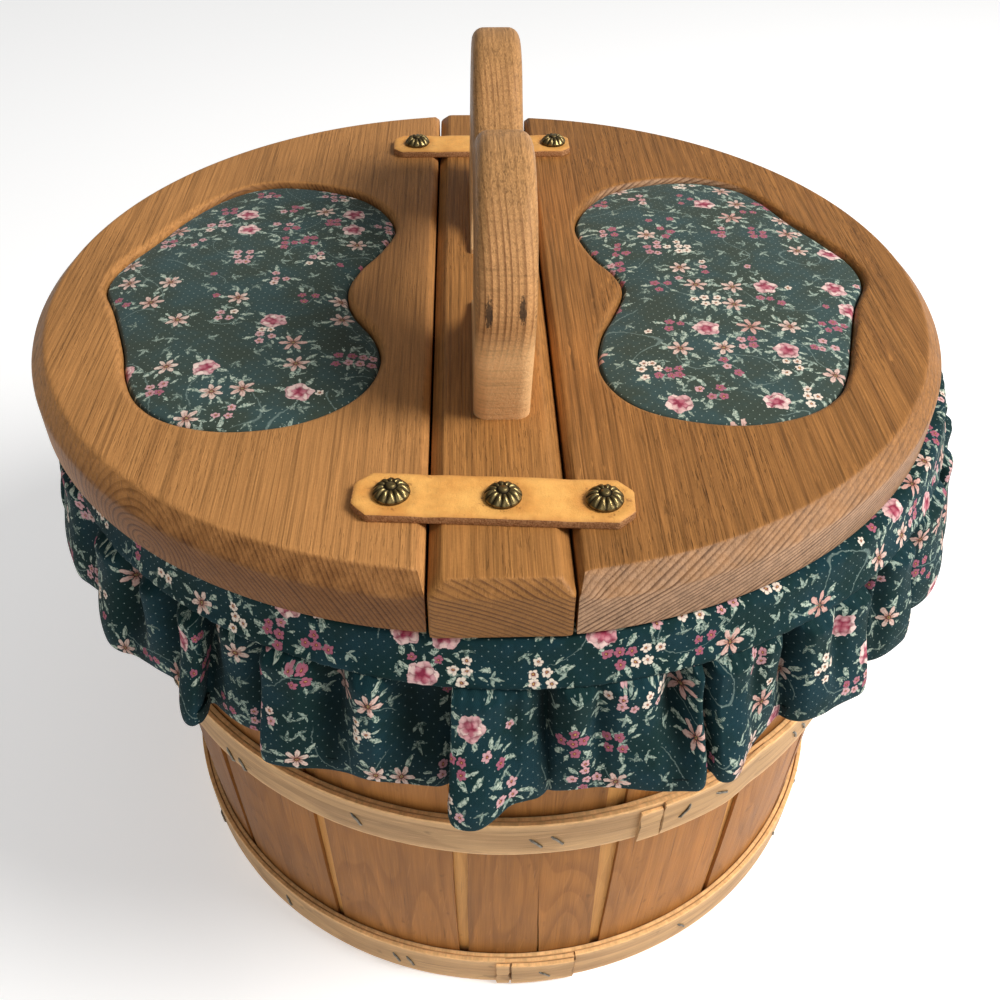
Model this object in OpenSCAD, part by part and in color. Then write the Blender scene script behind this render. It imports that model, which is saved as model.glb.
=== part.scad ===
// Round veneer basket with a gathered calico skirt, a fixed bridge board with a
// two-humped handle, and two half-moon lids on leather strap hinges.
// Z is up, the floor is z = 0, the origin is on the basket's axis.
// The bridge board runs along Y and the lids open away from it, to -X and +X.

/* [Lids and bridge] */
// Radius of the round wooden top
lid_r = 168; // [166:1:169]
// Height of the top face above the floor
top_h = 256; // [250:1:262]
// Thickness of the half-moon lids
lid_t = 20; // [19:0.5:20.5]
// Width of the bridge board
board_w = 41; // [40:1:42]
// Bevel round the top of the bridge board
board_bevel = 4; // [2:0.5:5]
// Bevel on the curved edge of each lid
lid_bevel = 6; // [3:0.5:7]
// Gap between the bridge board and each lid
lid_gap = 0.8; // [0.5:0.1:1.2]
// Sideways shift of the wooden top on the basket
board_x = -7; // [-8:0.5:-6]

/* [Basket] */
// Outside radius of the bottom hoop at the floor
base_r = 156; // [154:1:157]
// Outward slope of the wall, radius per height
taper = 0.036; // [0.03:0.002:0.038]
// Number of veneer staves in each layer
stave_n = 17; // [15:1:19]
// Thickness of one veneer stave
stave_t = 1.6; // [1.2:0.1:1.6]
// Open gap between two outer staves, degrees
stave_gap = 2.2; // [1.5:0.1:3]
// Thickness of the bottom and middle hoops
hoop_t = 4.2; // [3.6:0.1:4.3]
// Height of the bottom hoop
hoop_h = 19; // [17:1:21]
// Lower edge of the middle hoop
mid_z = 108; // [104:1:112]
// Thickness of the base board
base_t = 12; // [9:1:14]

/* [Handle] */
// Thickness of the handle board
handle_t = 18.5; // [17:0.5:19]
// Sideways shift of the handle on the bridge board
handle_dx = 2.3; // [0:0.1:3]
// Rounding of the handle's edges
handle_round = 4.5; // [3:0.5:5]
// Sideways lean of the handle at its top
handle_lean = 1.8; // [0:0.1:2]

/* [Straps and tacks] */
// Width of the leather straps
strap_w = 19; // [17:0.5:20]
// Thickness of the leather
strap_t = 3; // [2:0.5:3]
// Distance of the front strap from the middle
strap_y_front = -133.5; // [-136:0.5:-131]
// Distance of the back strap from the middle
strap_y_back = 122; // [119:0.5:125]
// Radius of a tack head
tack_r = 5.7; // [5:0.1:6]

/* [Skirt] */
// Mean radius of the ruffle's hem
hem_r = 177; // [175:0.5:179]
// Depth of the flutes at the hem
flute = 5.5; // [3:0.5:6.5]
// Number of flutes, a multiple of four
flute_n = 20; // [16:4:24]
// Height of the hem above the floor
hem_z = 176; // [170:1:180]
// Height of the seam between band and ruffle
seam_z = 218; // [216:0.5:219]

/* [Hidden] */
$fn = 96;

under_z = top_h - lid_t;          // underside of the lids
rim_z = under_z - 0.3;            // top of the rim, and underside of the bridge board
rim_h = 21;                       // height of the rim hoops
rim_t = 5;                        // thickness of the outer rim hoop
rim_in_t = 3;                     // thickness of the inner rim hoop
edge_x = board_w / 2 + lid_gap;   // inner edge of a lid, from the board's centre line
hinge_x = board_w / 2 + lid_gap / 2;
strap_start = 3;                  // a lid's strap piece starts this far past the hinge line
handle_x = board_x + handle_dx;
screw_y = [-78, -58, 58, 78];
cleat_y = [128, 149.5];
stave_turn = -98;                 // azimuth of one gap between outer staves
lap_t = 1.8;                      // thickness of a hoop's lapped tail
lap_bottom = [-101, -80];         // azimuths of the bottom hoop's tail
lap_middle = [-73, -52];          // azimuths of the middle hoop's tail

// outside radius of the hoops, outside radius of the veneer wall
function hoop_r(z) = base_r + taper * z;
function wall_r(z) = hoop_r(z) - hoop_t;

// smooth curves through hand-chosen points
function cr(a, b, c, d, t) = 0.5 * (2 * b + (c - a) * t + (2 * a - 5 * b + 4 * c - d) * t * t + (3 * b - a - 3 * c + d) * t * t * t);
function closed_curve(p, n) = let (m = len(p)) [for (i = [0 : m - 1], j = [0 : n - 1])
    cr(p[(i + m - 1) % m], p[i], p[(i + 1) % m], p[(i + 2) % m], j / n)];
function open_curve(p, n) = let (m = len(p)) concat([for (i = [0 : m - 2], j = [0 : n - 1])
    cr(p[max(i - 1, 0)], p[i], p[i + 1], p[min(i + 2, m - 1)], j / n)], [p[m - 1]]);
function centroid(p) = [for (k = [0, 1]) let (v = [for (q = p) q[k]]) (min(v) + max(v)) / 2];
function shrink(p, k) = let (c = centroid(p)) [for (q = p) c + k * (q - c)];

// kidney outlines of the inserts, measured from the bridge board's centre line
kidney_left = [[-38, 43], [-43, 60], [-56, 75], [-76, 84], [-97, 85], [-113, 75], [-126, 56], [-136, 33],
    [-145, 13], [-147, -3], [-140, -20], [-131, -45], [-126, -63], [-118, -79], [-105, -90], [-86, -95],
    [-66, -92], [-51, -83], [-42, -70], [-39, -54], [-42, -39], [-50, -24], [-54, -8], [-51, 7], [-43, 24]];
kidney_right = [[37, 42], [42, 61], [54, 77], [73, 86], [94, 88], [112, 80], [122, 65], [129, 47],
    [138, 29], [145, 13], [146, -4], [138, -22], [130, -46], [124, -64], [116, -79], [102, -90], [82, -95],
    [62, -92], [47, -84], [39, -71], [37, -56], [40, -39], [46, -24], [51, -9], [49, 3], [42, 18]];
function kidney(side) = closed_curve(side < 0 ? kidney_left : kidney_right, 3);

// handle outline in the Y-Z plane, above the board
hump = [[92, 0], [94, 12], [97, 28], [97.5, 42], [91, 55.5], [79, 66.5], [63, 73.5], [47, 75], [31, 71], [15, 61], [0, 55]];
hole = [[18.5, 0], [20, 2.8], [28, 4.5], [38, 9], [44.5, 19.5], [40, 29.5], [27, 36.2], [12, 38.6], [0, 39]];
function back(p) = [for (i = [len(p) - 2 : -1 : 0]) p[i]];
function flip(p) = [for (q = p) [-q[0], q[1]]];
outer_curve = open_curve(concat(hump, back(flip(hump))), 4);
inner_curve = open_curve(concat(flip(hole), back(hole)), 3);
handle_line = concat(outer_curve, inner_curve);

// --- shared shapes ---
module slanted_ring(z0, z1, off_in, off_out, turn = 360) {
    rotate_extrude(angle = turn) polygon([[wall_r(z0) + off_in, z0], [wall_r(z0) + off_out, z0],
        [wall_r(z1) + off_out, z1], [wall_r(z1) + off_in, z1]]);
}
// staple crowns lying on a hoop, one or two over each stave, raised where the hoop's end laps
module staples(z, off, tilt, every, lap = [0, 0]) {
    for (i = [0 : stave_n - 1]) for (s = (i % every == 0) ? [-1.3, 1.3] : [0])
        let (a = stave_turn + (i + 0.5) * 360 / stave_n + s, up = (a > lap[0] - 1 && a < lap[1] + 1) ? lap_t : 0)
            rotate([0, 0, a]) translate([wall_r(z + 4) + off + up + 0.55, 0, z]) rotate([tilt, 0, 0]) cube([0.9, 11, 1.3], center = true);
}
module screw(r, head_r, length) {
    translate([0, 0, -2.5]) cylinder(h = 2.5, r1 = head_r * 0.7, r2 = head_r);
    cylinder(h = length - 3, r = r);
    translate([0, 0, length - 3]) cylinder(h = 3, r1 = r, r2 = 0.4);
}
// closed body through rings of points, each ring a list of [x, y, z]
module loft(rings) {
    n = len(rings[0]);
    m = len(rings);
    polyhedron(points = [for (r = rings) each r],
        faces = concat([[for (i = [0 : n - 1]) i]], [[for (i = [n - 1 : -1 : 0]) (m - 1) * n + i]],
            [for (k = [0 : m - 2], i = [0 : n - 1]) [k * n + (i + 1) % n, k * n + i, (k + 1) * n + i]],
            [for (k = [0 : m - 2], i = [0 : n - 1]) [k * n + (i + 1) % n, (k + 1) * n + i, (k + 1) * n + (i + 1) % n]]));
}
module strap_flat(x0, x1, clip0, clip1, y, turn) {
    translate([board_x, y, top_h]) rotate([0, 0, turn]) linear_extrude(height = strap_t)
        polygon([[x0, -strap_w / 2 + clip0], [x0 + clip0, -strap_w / 2], [x1 - clip1, -strap_w / 2], [x1, -strap_w / 2 + clip1],
            [x1, strap_w / 2 - clip1], [x1 - clip1, strap_w / 2], [x0 + clip0, strap_w / 2], [x0, strap_w / 2 - clip0]]);
}
module tack_hole(x, y, turn) {
    translate([board_x, y, top_h - 1]) rotate([0, 0, turn]) translate([x, 0, 0]) cylinder(h = strap_t + 2, r = 1.2);
}
module tack(x, y, turn) {
    translate([board_x, y, top_h + strap_t]) rotate([0, 0, turn]) translate([x, 0, 0])
        rotate_extrude() polygon([[0, -13], [1.1, -11.5], [1.1, 0], [tack_r, 0], [tack_r, 0.6], [4.6, 1.9], [2.6, 2.7], [2.1, 3.5], [0, 3.8]]);
}

// --- basket ---
module base_board() {
    color("tan") translate([0, 0, 2]) cylinder(h = base_t, r = wall_r(2) - 2 * stave_t - 0.1);
}
module staves_inner() {
    color("peru") for (i = [0 : stave_n - 1]) rotate([0, 0, stave_turn + (i - 0.485) * 360 / stave_n])
        slanted_ring(0.5, rim_z, -2 * stave_t, -stave_t, 0.97 * 360 / stave_n);
}
module staves_outer() {
    color("sienna") for (i = [0 : stave_n - 1]) rotate([0, 0, stave_turn + i * 360 / stave_n + stave_gap / 2])
        slanted_ring(0.5, rim_z, -stave_t, 0, 360 / stave_n - stave_gap);
}
module hoop_bottom() {
    color("burlywood") {
        slanted_ring(0, hoop_h, 0, hoop_t);
        rotate([0, 0, lap_bottom[0]]) slanted_ring(0, hoop_h - 1, hoop_t - 0.5, hoop_t + lap_t, lap_bottom[1] - lap_bottom[0]);
    }
}
module hoop_middle() {
    color("burlywood") {
        slanted_ring(mid_z, mid_z + 20, 0, hoop_t);
        rotate([0, 0, lap_middle[0]]) slanted_ring(mid_z, mid_z + 20, hoop_t - 0.5, hoop_t + lap_t, lap_middle[1] - lap_middle[0]);
    }
}
module hoop_rim_outer() {
    color("burlywood") slanted_ring(rim_z - rim_h, rim_z, 0, rim_t);
}
module hoop_rim_inner() {
    color("burlywood") slanted_ring(rim_z - rim_h, rim_z, -2 * stave_t - rim_in_t, -2 * stave_t);
}
module staples_bottom() {
    color("dimgray") staples(9, hoop_t, 35, 3, lap_bottom);
}
module staples_middle() {
    color("dimgray") staples(mid_z + 10, hoop_t, 40, 2, lap_middle);
}
module staples_rim() {
    color("dimgray") difference() {
        staples(rim_z - 14, rim_t, 35, 4);
        translate([board_x, 0, rim_z - 14]) cube([30, 400, 12], center = true);
    }
}

// --- skirt ---
module skirt_band() {
    color("darkslategray") rotate_extrude() polygon([[166.7, rim_z - 0.5], [168.6, rim_z - 0.5], [171.6, seam_z + 0.1], [168.6, seam_z + 0.1]]);
}
module skirt_elastic() {
    color("white") rotate_extrude() translate([165.75, rim_z - 9]) square([0.75, 6]);
}
module skirt_ruffle() {
    seg = flute_n * 8;
    rows = [0, 0.3, 0.65, 1];
    function mid_r(t) = 170.2 + (hem_r - 170.2) * t;
    function wave(t, a) = mid_r(t) + flute * t * cos(flute_n * a);
    function ring(t, off) = [for (i = [0 : seg - 1]) let (a = i * 360 / seg, r = wave(t, a) + off)
        [r * cos(a), r * sin(a), seam_z - 0.1 + (hem_z - seam_z + 0.1) * t]];
    rings = concat([for (t = rows) ring(t, 0.9)], [for (i = [len(rows) - 1 : -1 : 0]) ring(rows[i], -0.9)]);
    m = len(rings);
    color("darkslategray") polyhedron(points = [for (r = rings) each r], faces = concat(
        [for (k = [0 : m - 1], i = [0 : seg - 1]) [k * seg + i, k * seg + (i + 1) % seg, ((k + 1) % m) * seg + i]],
        [for (k = [0 : m - 1], i = [0 : seg - 1]) [k * seg + (i + 1) % seg, ((k + 1) % m) * seg + (i + 1) % seg, ((k + 1) % m) * seg + i]]));
}

// --- fixed bridge ---
module bevelled_bar(len_y, bevel) {
    intersection() {
        rotate([90, 0, 0]) linear_extrude(height = len_y, center = true)
            polygon([[-board_w / 2, rim_z], [board_w / 2, rim_z], [board_w / 2, top_h - bevel], [board_w / 2 - bevel, top_h],
                [-board_w / 2 + bevel, top_h], [-board_w / 2, top_h - bevel]]);
        rotate([90, 0, 90]) linear_extrude(height = board_w + 4, center = true)
            polygon([[-len_y / 2, rim_z - 1], [len_y / 2, rim_z - 1], [len_y / 2, top_h - bevel], [len_y / 2 - bevel, top_h],
                [-len_y / 2 + bevel, top_h], [-len_y / 2, top_h - bevel]]);
    }
}
module centre_board() {
    color("saddlebrown") difference() {
        translate([board_x, 0, 0]) bevelled_bar(2 * lid_r, board_bevel);
        for (y = screw_y) translate([handle_x, y, rim_z - 1]) cylinder(h = 30, r = 2.3);
    }
}
module cleat(s) {
    difference() {
        translate([board_x - 17, s > 0 ? cleat_y[0] : -cleat_y[1], rim_z - 20.5]) cube([34, cleat_y[1] - cleat_y[0], 20.5]);
        for (x = [-11, 11]) translate([board_x + x, s * 139, rim_z - 30]) cylinder(h = 40, r = 2.1);
    }
}
module cleat_front() { color("tan") cleat(-1); }
module cleat_back() { color("tan") cleat(1); }
module cleat_screws() {
    color("goldenrod") for (x = [-11, 11], s = [-1, 1]) translate([board_x + x, s * 139, rim_z - 20.5]) screw(1.9, 3.8, 34);
}
module cleat_nails() {
    color("gray") for (x = [-5, 5], s = [0, 180]) rotate([0, 0, s]) translate([board_x * (s == 0 ? 1 : -1) + x, 165.45, rim_z - 15.7])
        rotate([90, 0, 0]) { translate([0, 0, -0.8]) cylinder(h = 0.8, r = 2.4); cylinder(h = 30, r = 1.2); translate([0, 0, 30]) cylinder(h = 2, r1 = 1.2, r2 = 0.2); }
}
module handle() {
    p = handle_line;
    n = len(p);
    function unit(v) = v / norm(v);
    // direction into the wood at each point; level along the foot
    function inward(i) = p[i][1] < 0.01
        ? ((i == 0 || p[i][0] < -50) ? [-sign(p[i][0]), 0] : [sign(p[i][0]), 0])
        : let (t = unit(p[(i + 1) % n] - p[i - 1])) [-t[1], t[0]];
    // the thin curled toes of the feet are rounded less
    function share(i) = i < len(outer_curve) ? 1 : min(1, max(0.25, (p[i][1] - 4) / 12 + 0.25));
    function ring(x, inset) = [for (i = [0 : n - 1]) let (q = p[i] + inset * share(i) * inward(i)) [handle_x + x + handle_lean * q[1] / 75, q[0], top_h + q[1]]];
    h = handle_t / 2;
    k = handle_round / 4.5;
    color("peru") loft([ring(-h, 4.5 * k), ring(-h + 0.6, 2.6 * k), ring(-h + 1.9, 1.1 * k), ring(-h + 4.5, 0),
        ring(h - 4.5, 0), ring(h - 1.9, 1.1 * k), ring(h - 0.6, 2.6 * k), ring(h, 4.5 * k)]);
}
module handle_screws() {
    color("goldenrod") for (y = screw_y) translate([handle_x, y, rim_z]) screw(2, 4.2, 44);
}

// --- lids ---
module lid(side) {
    c = side < 0 ? [board_x - 2.6, 1] : [board_x + 1.6, -0.8];
    x0 = board_x + side * edge_x;
    difference() {
        intersection() {
            translate([c[0], c[1], under_z]) rotate_extrude() polygon([[0, 0], [lid_r, 0], [lid_r, lid_t - lid_bevel], [lid_r - lid_bevel, lid_t], [0, lid_t]]);
            translate([side < 0 ? x0 - 200 : x0, -200, under_z - 1]) cube([200, 400, lid_t + 2]);
        }
        translate([x0, 0, top_h]) rotate([0, 45, 0]) cube([board_bevel * sqrt(2), 400, board_bevel * sqrt(2)], center = true);
        translate([board_x, 0, under_z - 1]) linear_extrude(height = lid_t + 2) polygon(kidney(side));
    }
}
module insert_board(side) {
    translate([board_x, 0, under_z + 0.2]) linear_extrude(height = 5.8) polygon(shrink(kidney(side), 0.994));
}
// padded insert: straight in the cut-out, with a low crown
pad_steps = [[6.2, 0.99], [16.2, 0.99], [17.8, 0.975], [19.2, 0.945], [20.4, 0.88], [21.2, 0.78]];
module pad(side) {
    k = kidney(side);
    order = side < 0 ? [for (i = [0 : len(k) - 1]) i] : [for (i = [len(k) - 1 : -1 : 0]) i];
    loft([for (s = pad_steps) [for (i = order) let (q = shrink(k, s[1])[i]) [board_x + q[0], q[1], under_z + s[0]]]]);
}
module lid_left() { color("peru") lid(-1); }
module lid_right() { color("sienna") lid(1); }
module insert_board_left() { color("tan") insert_board(-1); }
module insert_board_right() { color("tan") insert_board(1); }
module pad_left() { color("darkslategray") pad(-1); }
module pad_right() { color("darkslategray") pad(1); }

// --- straps and tacks ---
front_turn = -4;
module strap_front_middle() {
    color("sandybrown") difference() {
        strap_flat(-hinge_x + 0.5, hinge_x - 0.5, 0, 0, strap_y_front, front_turn);
        tack_hole(1.3, strap_y_front, front_turn);
    }
}
module strap_back_middle() {
    color("sandybrown") difference() {
        strap_flat(-hinge_x + 0.5, hinge_x - 0.5, 0, 0, strap_y_back, 0);
        tack_hole(1, strap_y_back, 0);
    }
}
module strap_front_left() {
    color("sandybrown") difference() {
        strap_flat(-43, -hinge_x - strap_start, 5, 0, strap_y_front, front_turn);
        tack_hole(-31.5, strap_y_front, front_turn);
    }
}
module strap_front_right() {
    color("sandybrown") difference() {
        strap_flat(hinge_x + strap_start, 40, 0, 5, strap_y_front, front_turn);
        tack_hole(31, strap_y_front, front_turn);
    }
}
module strap_back_left() {
    color("sandybrown") difference() {
        strap_flat(-42, -hinge_x - strap_start, 4, 0, strap_y_back, 0);
        tack_hole(-31, strap_y_back, 0);
    }
}
module strap_back_right() {
    color("sandybrown") difference() {
        strap_flat(hinge_x + strap_start, 40.5, 0, 4, strap_y_back, 0);
        tack_hole(33, strap_y_back, 0);
    }
}
module tack_front_centre() { color("darkkhaki") tack(1.3, strap_y_front, front_turn); }
module tack_back_centre() { color("darkkhaki") tack(1, strap_y_back, 0); }
module tacks_left() {
    color("darkkhaki") { tack(-31.5, strap_y_front, front_turn); tack(-31, strap_y_back, 0); }
}
module tacks_right() {
    color("darkkhaki") { tack(31, strap_y_front, front_turn); tack(33, strap_y_back, 0); }
}

base_board();
staves_inner();
staves_outer();
hoop_bottom();
hoop_middle();
hoop_rim_outer();
hoop_rim_inner();
staples_bottom();
staples_middle();
staples_rim();
skirt_band();
skirt_ruffle();
skirt_elastic();
centre_board();
cleat_front();
cleat_back();
cleat_screws();
cleat_nails();
handle();
handle_screws();
strap_front_middle();
strap_back_middle();
tack_front_centre();
tack_back_centre();
lid_left();
insert_board_left();
pad_left();
strap_front_left();
strap_back_left();
tacks_left();
lid_right();
insert_board_right();
pad_right();
strap_front_right();
strap_back_right();
tacks_right();
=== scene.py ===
import bpy
import math
import numpy as np
from mathutils import Matrix, Vector, noise as mnoise
from mathutils.geometry import delaunay_2d_cdt


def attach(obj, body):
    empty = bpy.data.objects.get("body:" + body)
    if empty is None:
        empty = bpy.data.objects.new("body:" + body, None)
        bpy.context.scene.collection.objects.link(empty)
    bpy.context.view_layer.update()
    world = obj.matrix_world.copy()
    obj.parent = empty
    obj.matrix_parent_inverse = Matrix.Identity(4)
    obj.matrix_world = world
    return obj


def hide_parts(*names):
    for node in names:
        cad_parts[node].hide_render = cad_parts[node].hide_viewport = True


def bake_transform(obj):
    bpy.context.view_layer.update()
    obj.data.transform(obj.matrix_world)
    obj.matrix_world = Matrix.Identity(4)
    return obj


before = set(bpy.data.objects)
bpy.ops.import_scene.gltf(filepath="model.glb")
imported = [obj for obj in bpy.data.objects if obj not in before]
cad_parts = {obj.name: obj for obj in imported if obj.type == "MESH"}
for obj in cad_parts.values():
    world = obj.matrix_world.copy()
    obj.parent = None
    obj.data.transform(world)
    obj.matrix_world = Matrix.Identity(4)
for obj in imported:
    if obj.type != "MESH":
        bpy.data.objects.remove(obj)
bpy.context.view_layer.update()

scene = bpy.context.scene
MM = 0.001
PI = math.pi
rng = np.random.default_rng(7)

# ------------------------------------------------------------------ camera
cam_data = bpy.data.cameras.new("camera")
cam_data.lens = 38.725
cam_data.sensor_width = 36.0
cam_data.clip_start = 0.01
cam_data.clip_end = 50.0
cam = bpy.data.objects.new("camera", cam_data)
scene.collection.objects.link(cam)
cam.matrix_world = Matrix((
    (0.99955735, 0.01454644, -0.0259519, -0.01476),
    (-0.02913042, 0.65572856, -0.75443454, -0.37155),
    (0.00604307, 0.75485658, 0.65586205, 0.46457),
    (0.0, 0.0, 0.0, 1.0)))
scene.camera = cam
scene.view_settings.view_transform = "Standard"

# ------------------------------------------------------------------ sizes, in millimetres
LID_R, TOP_Z, LID_T = 168.0, 256.0, 20.0
UNDER_Z = TOP_Z - LID_T
RIM_Z = UNDER_Z - 0.3
BOARD_X, BOARD_W = -7.0, 41.0
HOOP_T, STAVE_T, STAVE_N = 4.2, 1.6, 17
RIM_T, RIM_IN_T, RIM_H = 5.0, 3.0, 21.0
STAVE_TURN = -98.0
HANDLE_X, HANDLE_T = -4.7, 18.5
STRAP_T = 3.0


def wall_r(z):
    return 156.0 + 0.036 * z - HOOP_T


def nz(x, y=0.0, z=0.0):
    return mnoise.noise(Vector((x, y, z)))


def smooth(a, b, x):
    t = min(1.0, max(0.0, (x - a) / (b - a)))
    return t * t * (3 - 2 * t)


def cr(a, b, c, d, t):
    return 0.5 * (2 * b + (c - a) * t + (2 * a - 5 * b + 4 * c - d) * t * t + (3 * b - a - 3 * c + d) * t ** 3)


def closed_curve(p, n):
    p = np.array(p, float)
    m = len(p)
    return np.array([cr(p[(i - 1) % m], p[i], p[(i + 1) % m], p[(i + 2) % m], j / n) for i in range(m) for j in range(n)])


def open_curve(p, n):
    p = np.array(p, float)
    m = len(p)
    q = [cr(p[max(i - 1, 0)], p[i], p[i + 1], p[min(i + 2, m - 1)], j / n) for i in range(m - 1) for j in range(n)]
    return np.array(q + [p[-1]])


# ------------------------------------------------------------------ shader graphs
def lin(r, g, b):
    def f(c):
        c /= 255.0
        return c / 12.92 if c <= 0.04045 else ((c + 0.055) / 1.055) ** 2.4
    return (f(r), f(g), f(b), 1.0)


class N:
    """A socket that can be added, multiplied and so on."""

    def __init__(self, g, o):
        self.g, self.o = g, o

    def __add__(self, b): return self.g.math("ADD", self, b)
    def __radd__(self, b): return self.g.math("ADD", self, b)
    def __sub__(self, b): return self.g.math("SUBTRACT", self, b)
    def __rsub__(self, b): return self.g.math("SUBTRACT", b, self)
    def __mul__(self, b): return self.g.math("MULTIPLY", self, b)
    def __rmul__(self, b): return self.g.math("MULTIPLY", self, b)
    def __truediv__(self, b): return self.g.math("DIVIDE", self, b)


class G:
    def __init__(self, name):
        self.mat = bpy.data.materials.new(name)
        self.mat.use_nodes = True
        self.t = self.mat.node_tree
        self.t.nodes.clear()

    def add(self, kind, **props):
        n = self.t.nodes.new(kind)
        for k, v in props.items():
            setattr(n, k, v)
        return n

    def put(self, sock, v):
        if isinstance(v, N):
            self.t.links.new(v.o, sock)
        elif v is not None:
            if isinstance(v, tuple) and sock.type == "VECTOR":
                v = v[:3]
            sock.default_value = v

    def math(self, op, a, b=None, c=None, clamp=False):
        n = self.add("ShaderNodeMath", operation=op, use_clamp=clamp)
        for i, v in enumerate((a, b, c)):
            self.put(n.inputs[i], v)
        return N(self, n.outputs[0])

    def vmath(self, op, a, b=None, k=None):
        n = self.add("ShaderNodeVectorMath", operation=op)
        self.put(n.inputs[0], a)
        self.put(n.inputs[1], b)
        if k is not None:
            self.put(n.inputs["Scale"], k)
        return N(self, n.outputs["Value" if op in ("LENGTH", "DISTANCE", "DOT_PRODUCT") else "Vector"])

    def sep(self, v):
        n = self.add("ShaderNodeSeparateXYZ")
        self.put(n.inputs[0], v)
        return [N(self, o) for o in n.outputs]

    def comb(self, x=0.0, y=0.0, z=0.0):
        n = self.add("ShaderNodeCombineXYZ")
        for i, v in enumerate((x, y, z)):
            self.put(n.inputs[i], v)
        return N(self, n.outputs[0])

    def attr(self, name, out="Vector"):
        n = self.add("ShaderNodeAttribute", attribute_name=name)
        return N(self, n.outputs[out])

    def coords(self, out="Object"):
        return N(self, self.add("ShaderNodeTexCoord").outputs[out])

    def noise(self, v, scale=1.0, detail=2.0, rough=0.5, distort=0.0, out="Fac", dims="3D"):
        n = self.add("ShaderNodeTexNoise", noise_dimensions=dims)
        self.put(n.inputs["Vector"], v)
        for k, x in (("Scale", scale), ("Detail", detail), ("Roughness", rough), ("Distortion", distort)):
            self.put(n.inputs[k], x)
        return N(self, n.outputs[out])

    def voronoi(self, v, scale, jitter, dims="2D"):
        n = self.add("ShaderNodeTexVoronoi", voronoi_dimensions=dims)
        self.put(n.inputs["Vector"], v)
        n.inputs["Scale"].default_value = scale
        n.inputs["Randomness"].default_value = jitter
        return N(self, n.outputs["Distance"]), N(self, n.outputs["Color"]), N(self, n.outputs["Position"])

    def white(self, v):
        n = self.add("ShaderNodeTexWhiteNoise", noise_dimensions="1D")
        self.put(n.inputs["W"], v)
        return N(self, n.outputs["Value"])

    def step(self, a, b, x):
        n = self.add("ShaderNodeMapRange", interpolation_type="SMOOTHSTEP")
        self.put(n.inputs["Value"], x)
        self.put(n.inputs["From Min"], a)
        self.put(n.inputs["From Max"], b)
        return N(self, n.outputs[0])

    def mix(self, f, a, b, blend="MIX"):
        n = self.add("ShaderNodeMix", data_type="RGBA", blend_type=blend)
        self.put(n.inputs[0], f)
        self.put(n.inputs[6], a)
        self.put(n.inputs[7], b)
        return N(self, n.outputs[2])

    def bright(self, col, k):
        """col times the number k."""
        return self.vmath("SCALE", col, k=k)

    def bump(self, height, distance=0.0005, strength=1.0):
        n = self.add("ShaderNodeBump")
        self.put(n.inputs["Height"], height)
        n.inputs["Distance"].default_value = distance
        n.inputs["Strength"].default_value = strength
        return N(self, n.outputs[0])

    def done(self, color, rough=0.5, normal=None, **sockets):
        b = self.add("ShaderNodeBsdfPrincipled")
        self.put(b.inputs["Base Color"], color)
        self.put(b.inputs["Roughness"], rough)
        self.put(b.inputs["Normal"], normal)
        for k, v in sockets.items():
            self.put(b.inputs[k.replace("_", " ")], v)
        o = self.add("ShaderNodeOutputMaterial")
        self.t.links.new(b.outputs[0], o.inputs[0])
        return self.mat


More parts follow.
